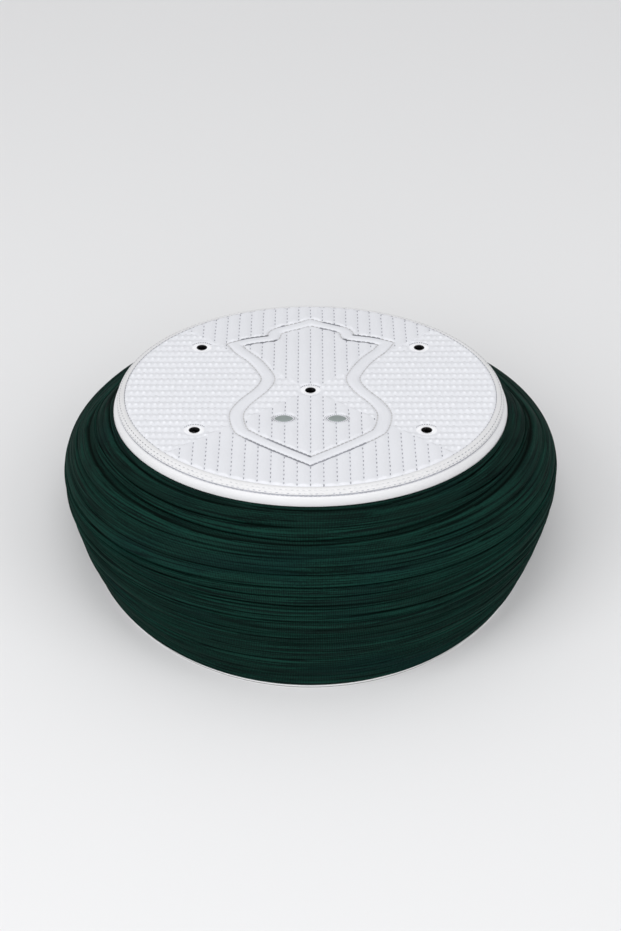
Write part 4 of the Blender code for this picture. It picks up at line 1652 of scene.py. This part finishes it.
@dataclass
class GreyOval:
    """Pointed oval worked in satin stitch, with fine stitches round its edge."""

    form: CapForm
    crown: QuiltedCrown
    finish: Finish
    thread: Finish
    name: str
    x: float
    y: float
    thickness: float = 0.45 * MM
    inset: float = 0.25 * MM
    stations: int = 48
    rings: int = 10

    def outline(self, margin: float) -> Array:
        """Places once round the oval: two arcs that meet at its ends."""
        half_width = self.crown.oval_half_width + margin
        half_depth = self.crown.oval_half_depth + margin
        radius = (half_width**2 + half_depth**2) / (2 * half_depth)
        sweep = math.asin(min(1.0, half_width / radius))
        turn = np.linspace(-sweep, sweep, self.stations // 2, endpoint=False)
        arc = np.stack([radius * np.sin(turn), radius * np.cos(turn) - radius + half_depth], axis=1)
        return np.concatenate([arc, -arc]) + [self.x, self.y]

    def build(self) -> bpy.types.Object:
        """Make the domed patch and the stitches at its edge."""
        line = self.outline(-self.inset)
        middle = np.array([self.x, self.y])
        rows = []
        for share in np.linspace(1, 0.08, self.rings):
            places = mix(middle, line, share)
            rise = self.thickness * math.sqrt(1 - share**2.5)
            level = self.form.crown_level(places[:, 1]) + rise
            rows.append(np.concatenate([places, level[:, None]], axis=1))
        base = rows[0].copy()
        base[:, 2] -= 0.25 * MM
        points = np.concatenate([base[None], np.stack(rows)])
        faces = net_faces(len(points), len(line), False).tolist()
        total = len(line)
        faces.append(tuple(range(total)))
        faces.append(tuple(total * (len(points) - 1) + k for k in range(total)))
        piece = Piece(f"satin_{self.name}", points, faces, self.finish, (self.name,)).build()
        self.sew()
        return piece

    def sew(self) -> bpy.types.Object:
        """Sew the small stitches that frame the oval."""
        stitch = Stitch(0.85 * MM, 0.55 * MM, 0.16 * MM)
        seam = Seam(f"{self.name}_stitches", self.thread)
        for margin in (0.35 * MM, 1.0 * MM):
            ring = self.outline(margin)
            ring = np.concatenate([ring, ring[:1]])
            level = self.form.crown_level(ring[:, 1]) + 0.08 * MM
            line = np.concatenate([ring, level[:, None]], axis=1)
            centres, directions = places_along(line, stitch.period)
            normals = np.broadcast_to(self.form.crown_normal, centres.shape)
            away = np.abs(centres[:, 0] - self.x) / self.crown.oval_half_width
            seam.sew(stitch, centres, directions, normals, 0.95 - 0.95 * smooth_step(away, 0.4, 0.8))
        return seam.build()


@dataclass(frozen=True)
class SoftBox:
    """One soft studio light: where it hangs, its size and its power."""

    name: str
    place: tuple[float, float, float]
    size: float
    power: float


@dataclass
class Studio:
    """Pale floor, soft light and the camera that looks down on the turban's front."""

    target: tuple[float, float, float] = (0.0, 0.0, 0.035)
    camera_place: tuple[float, float, float] = (0.0, -0.7427, 0.5740)
    camera_pitch: float = math.radians(36.4236)
    lens: float = 89.12
    floor_half: float = 3.0
    floor_colour: Colour = (0.80, 0.802, 0.812)
    ambient: float = 0.63
    lights: tuple[SoftBox, ...] = (
        SoftBox("key_light", (-0.910, -0.764, 0.832), 0.9, 6.7),
        SoftBox("fill_light", (0.973, -0.681, 0.832), 0.9, 3.6),
        SoftBox("top_light", (0.0, -0.448, 1.379), 0.9, 3.0),
        SoftBox("front_light", (0.0, -1.250, 0.480), 0.9, 2.6),
    )

    def build(self) -> None:
        """Set up the whole studio."""
        self.build_floor()
        self.build_camera()
        for light in self.lights:
            self.build_light(light)
        scene = bpy.context.scene
        scene.view_settings.view_transform = "Standard"
        world = bpy.data.worlds.new("studio_air")
        world.use_nodes = True
        air = world.node_tree.nodes["Background"]
        air.inputs["Color"].default_value = (1.0, 1.0, 1.0, 1.0)
        air.inputs["Strength"].default_value = self.ambient
        scene.world = world

    def build_floor(self) -> bpy.types.Object:
        """Make the floor."""
        bm = bmesh.new()
        bmesh.ops.create_grid(bm, x_segments=1, y_segments=1, size=self.floor_half)
        mesh = bpy.data.meshes.new("studio_floor")
        bm.to_mesh(mesh)
        bm.free()
        recipe = Recipe("studio_paper")
        recipe.feed(recipe.shader.inputs["Base Color"], (*self.floor_colour, 1.0))
        recipe.feed(recipe.shader.inputs["Roughness"], 0.9)
        recipe.feed(recipe.shader.inputs["Specular IOR Level"], 0.1)
        mesh.materials.append(recipe.material)
        floor = bpy.data.objects.new("studio_floor", mesh)
        bpy.context.collection.objects.link(floor)
        return floor

    def build_camera(self) -> bpy.types.Object:
        """Make the camera, turned down by its pitch."""
        data = bpy.data.cameras.new("studio_camera")
        data.lens = self.lens
        camera = bpy.data.objects.new("studio_camera", data)
        camera.location = self.camera_place
        camera.rotation_euler = (math.pi / 2 - self.camera_pitch, 0.0, 0.0)
        bpy.context.collection.objects.link(camera)
        bpy.context.scene.camera = camera
        return camera

    def build_light(self, light: SoftBox) -> bpy.types.Object:
        """Make one soft box, aimed at the turban."""
        data = bpy.data.lights.new(light.name, "AREA")
        data.shape = "SQUARE"
        data.size = light.size
        data.energy = light.power
        made = bpy.data.objects.new(light.name, data)
        made.location = light.place
        aim = Vector(self.target) - Vector(light.place)
        made.rotation_euler = aim.to_track_quat("-Z", "Y").to_euler()
        bpy.context.collection.objects.link(made)
        return made


def corners(box: tuple[Vector, Vector]) -> list[list[float]]:
    """Lowest and highest corner of a box as plain lists."""
    return [list(corner) for corner in box]


def main() -> None:
    """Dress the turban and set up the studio."""
    logging.basicConfig(level=logging.INFO, format="%(name)s: %(message)s")
    form = CapForm()
    finishes = Finishes()
    Studio().build()
    WoundCloth(form, finishes.muslin).build()
    crown = QuiltedCrown(form, finishes.quilting, finishes.white_thread, finishes.grey_thread,
                         finishes.pale_thread)
    crown.build()
    crown.sew_quilting()
    crown.sew_motif()
    crown.sew_edge()
    binding = EdgeBinding(form, finishes.edging, finishes.grey_thread, finishes.white_thread)
    binding.build()
    binding.sew()
    SideBand(form, finishes.band).build()
    FootHem(form, finishes.hem).build()
    for name, x, y in crown.vents():
        Eyelet(form, finishes.eyelet_thread_bore_shade, finishes.grey_thread, name, x, y).build()
    for name, x, y in crown.ovals():
        GreyOval(form, crown, finishes.satin, finishes.grey_thread, name, x, y).build()


if __name__ == "__main__":
    main()
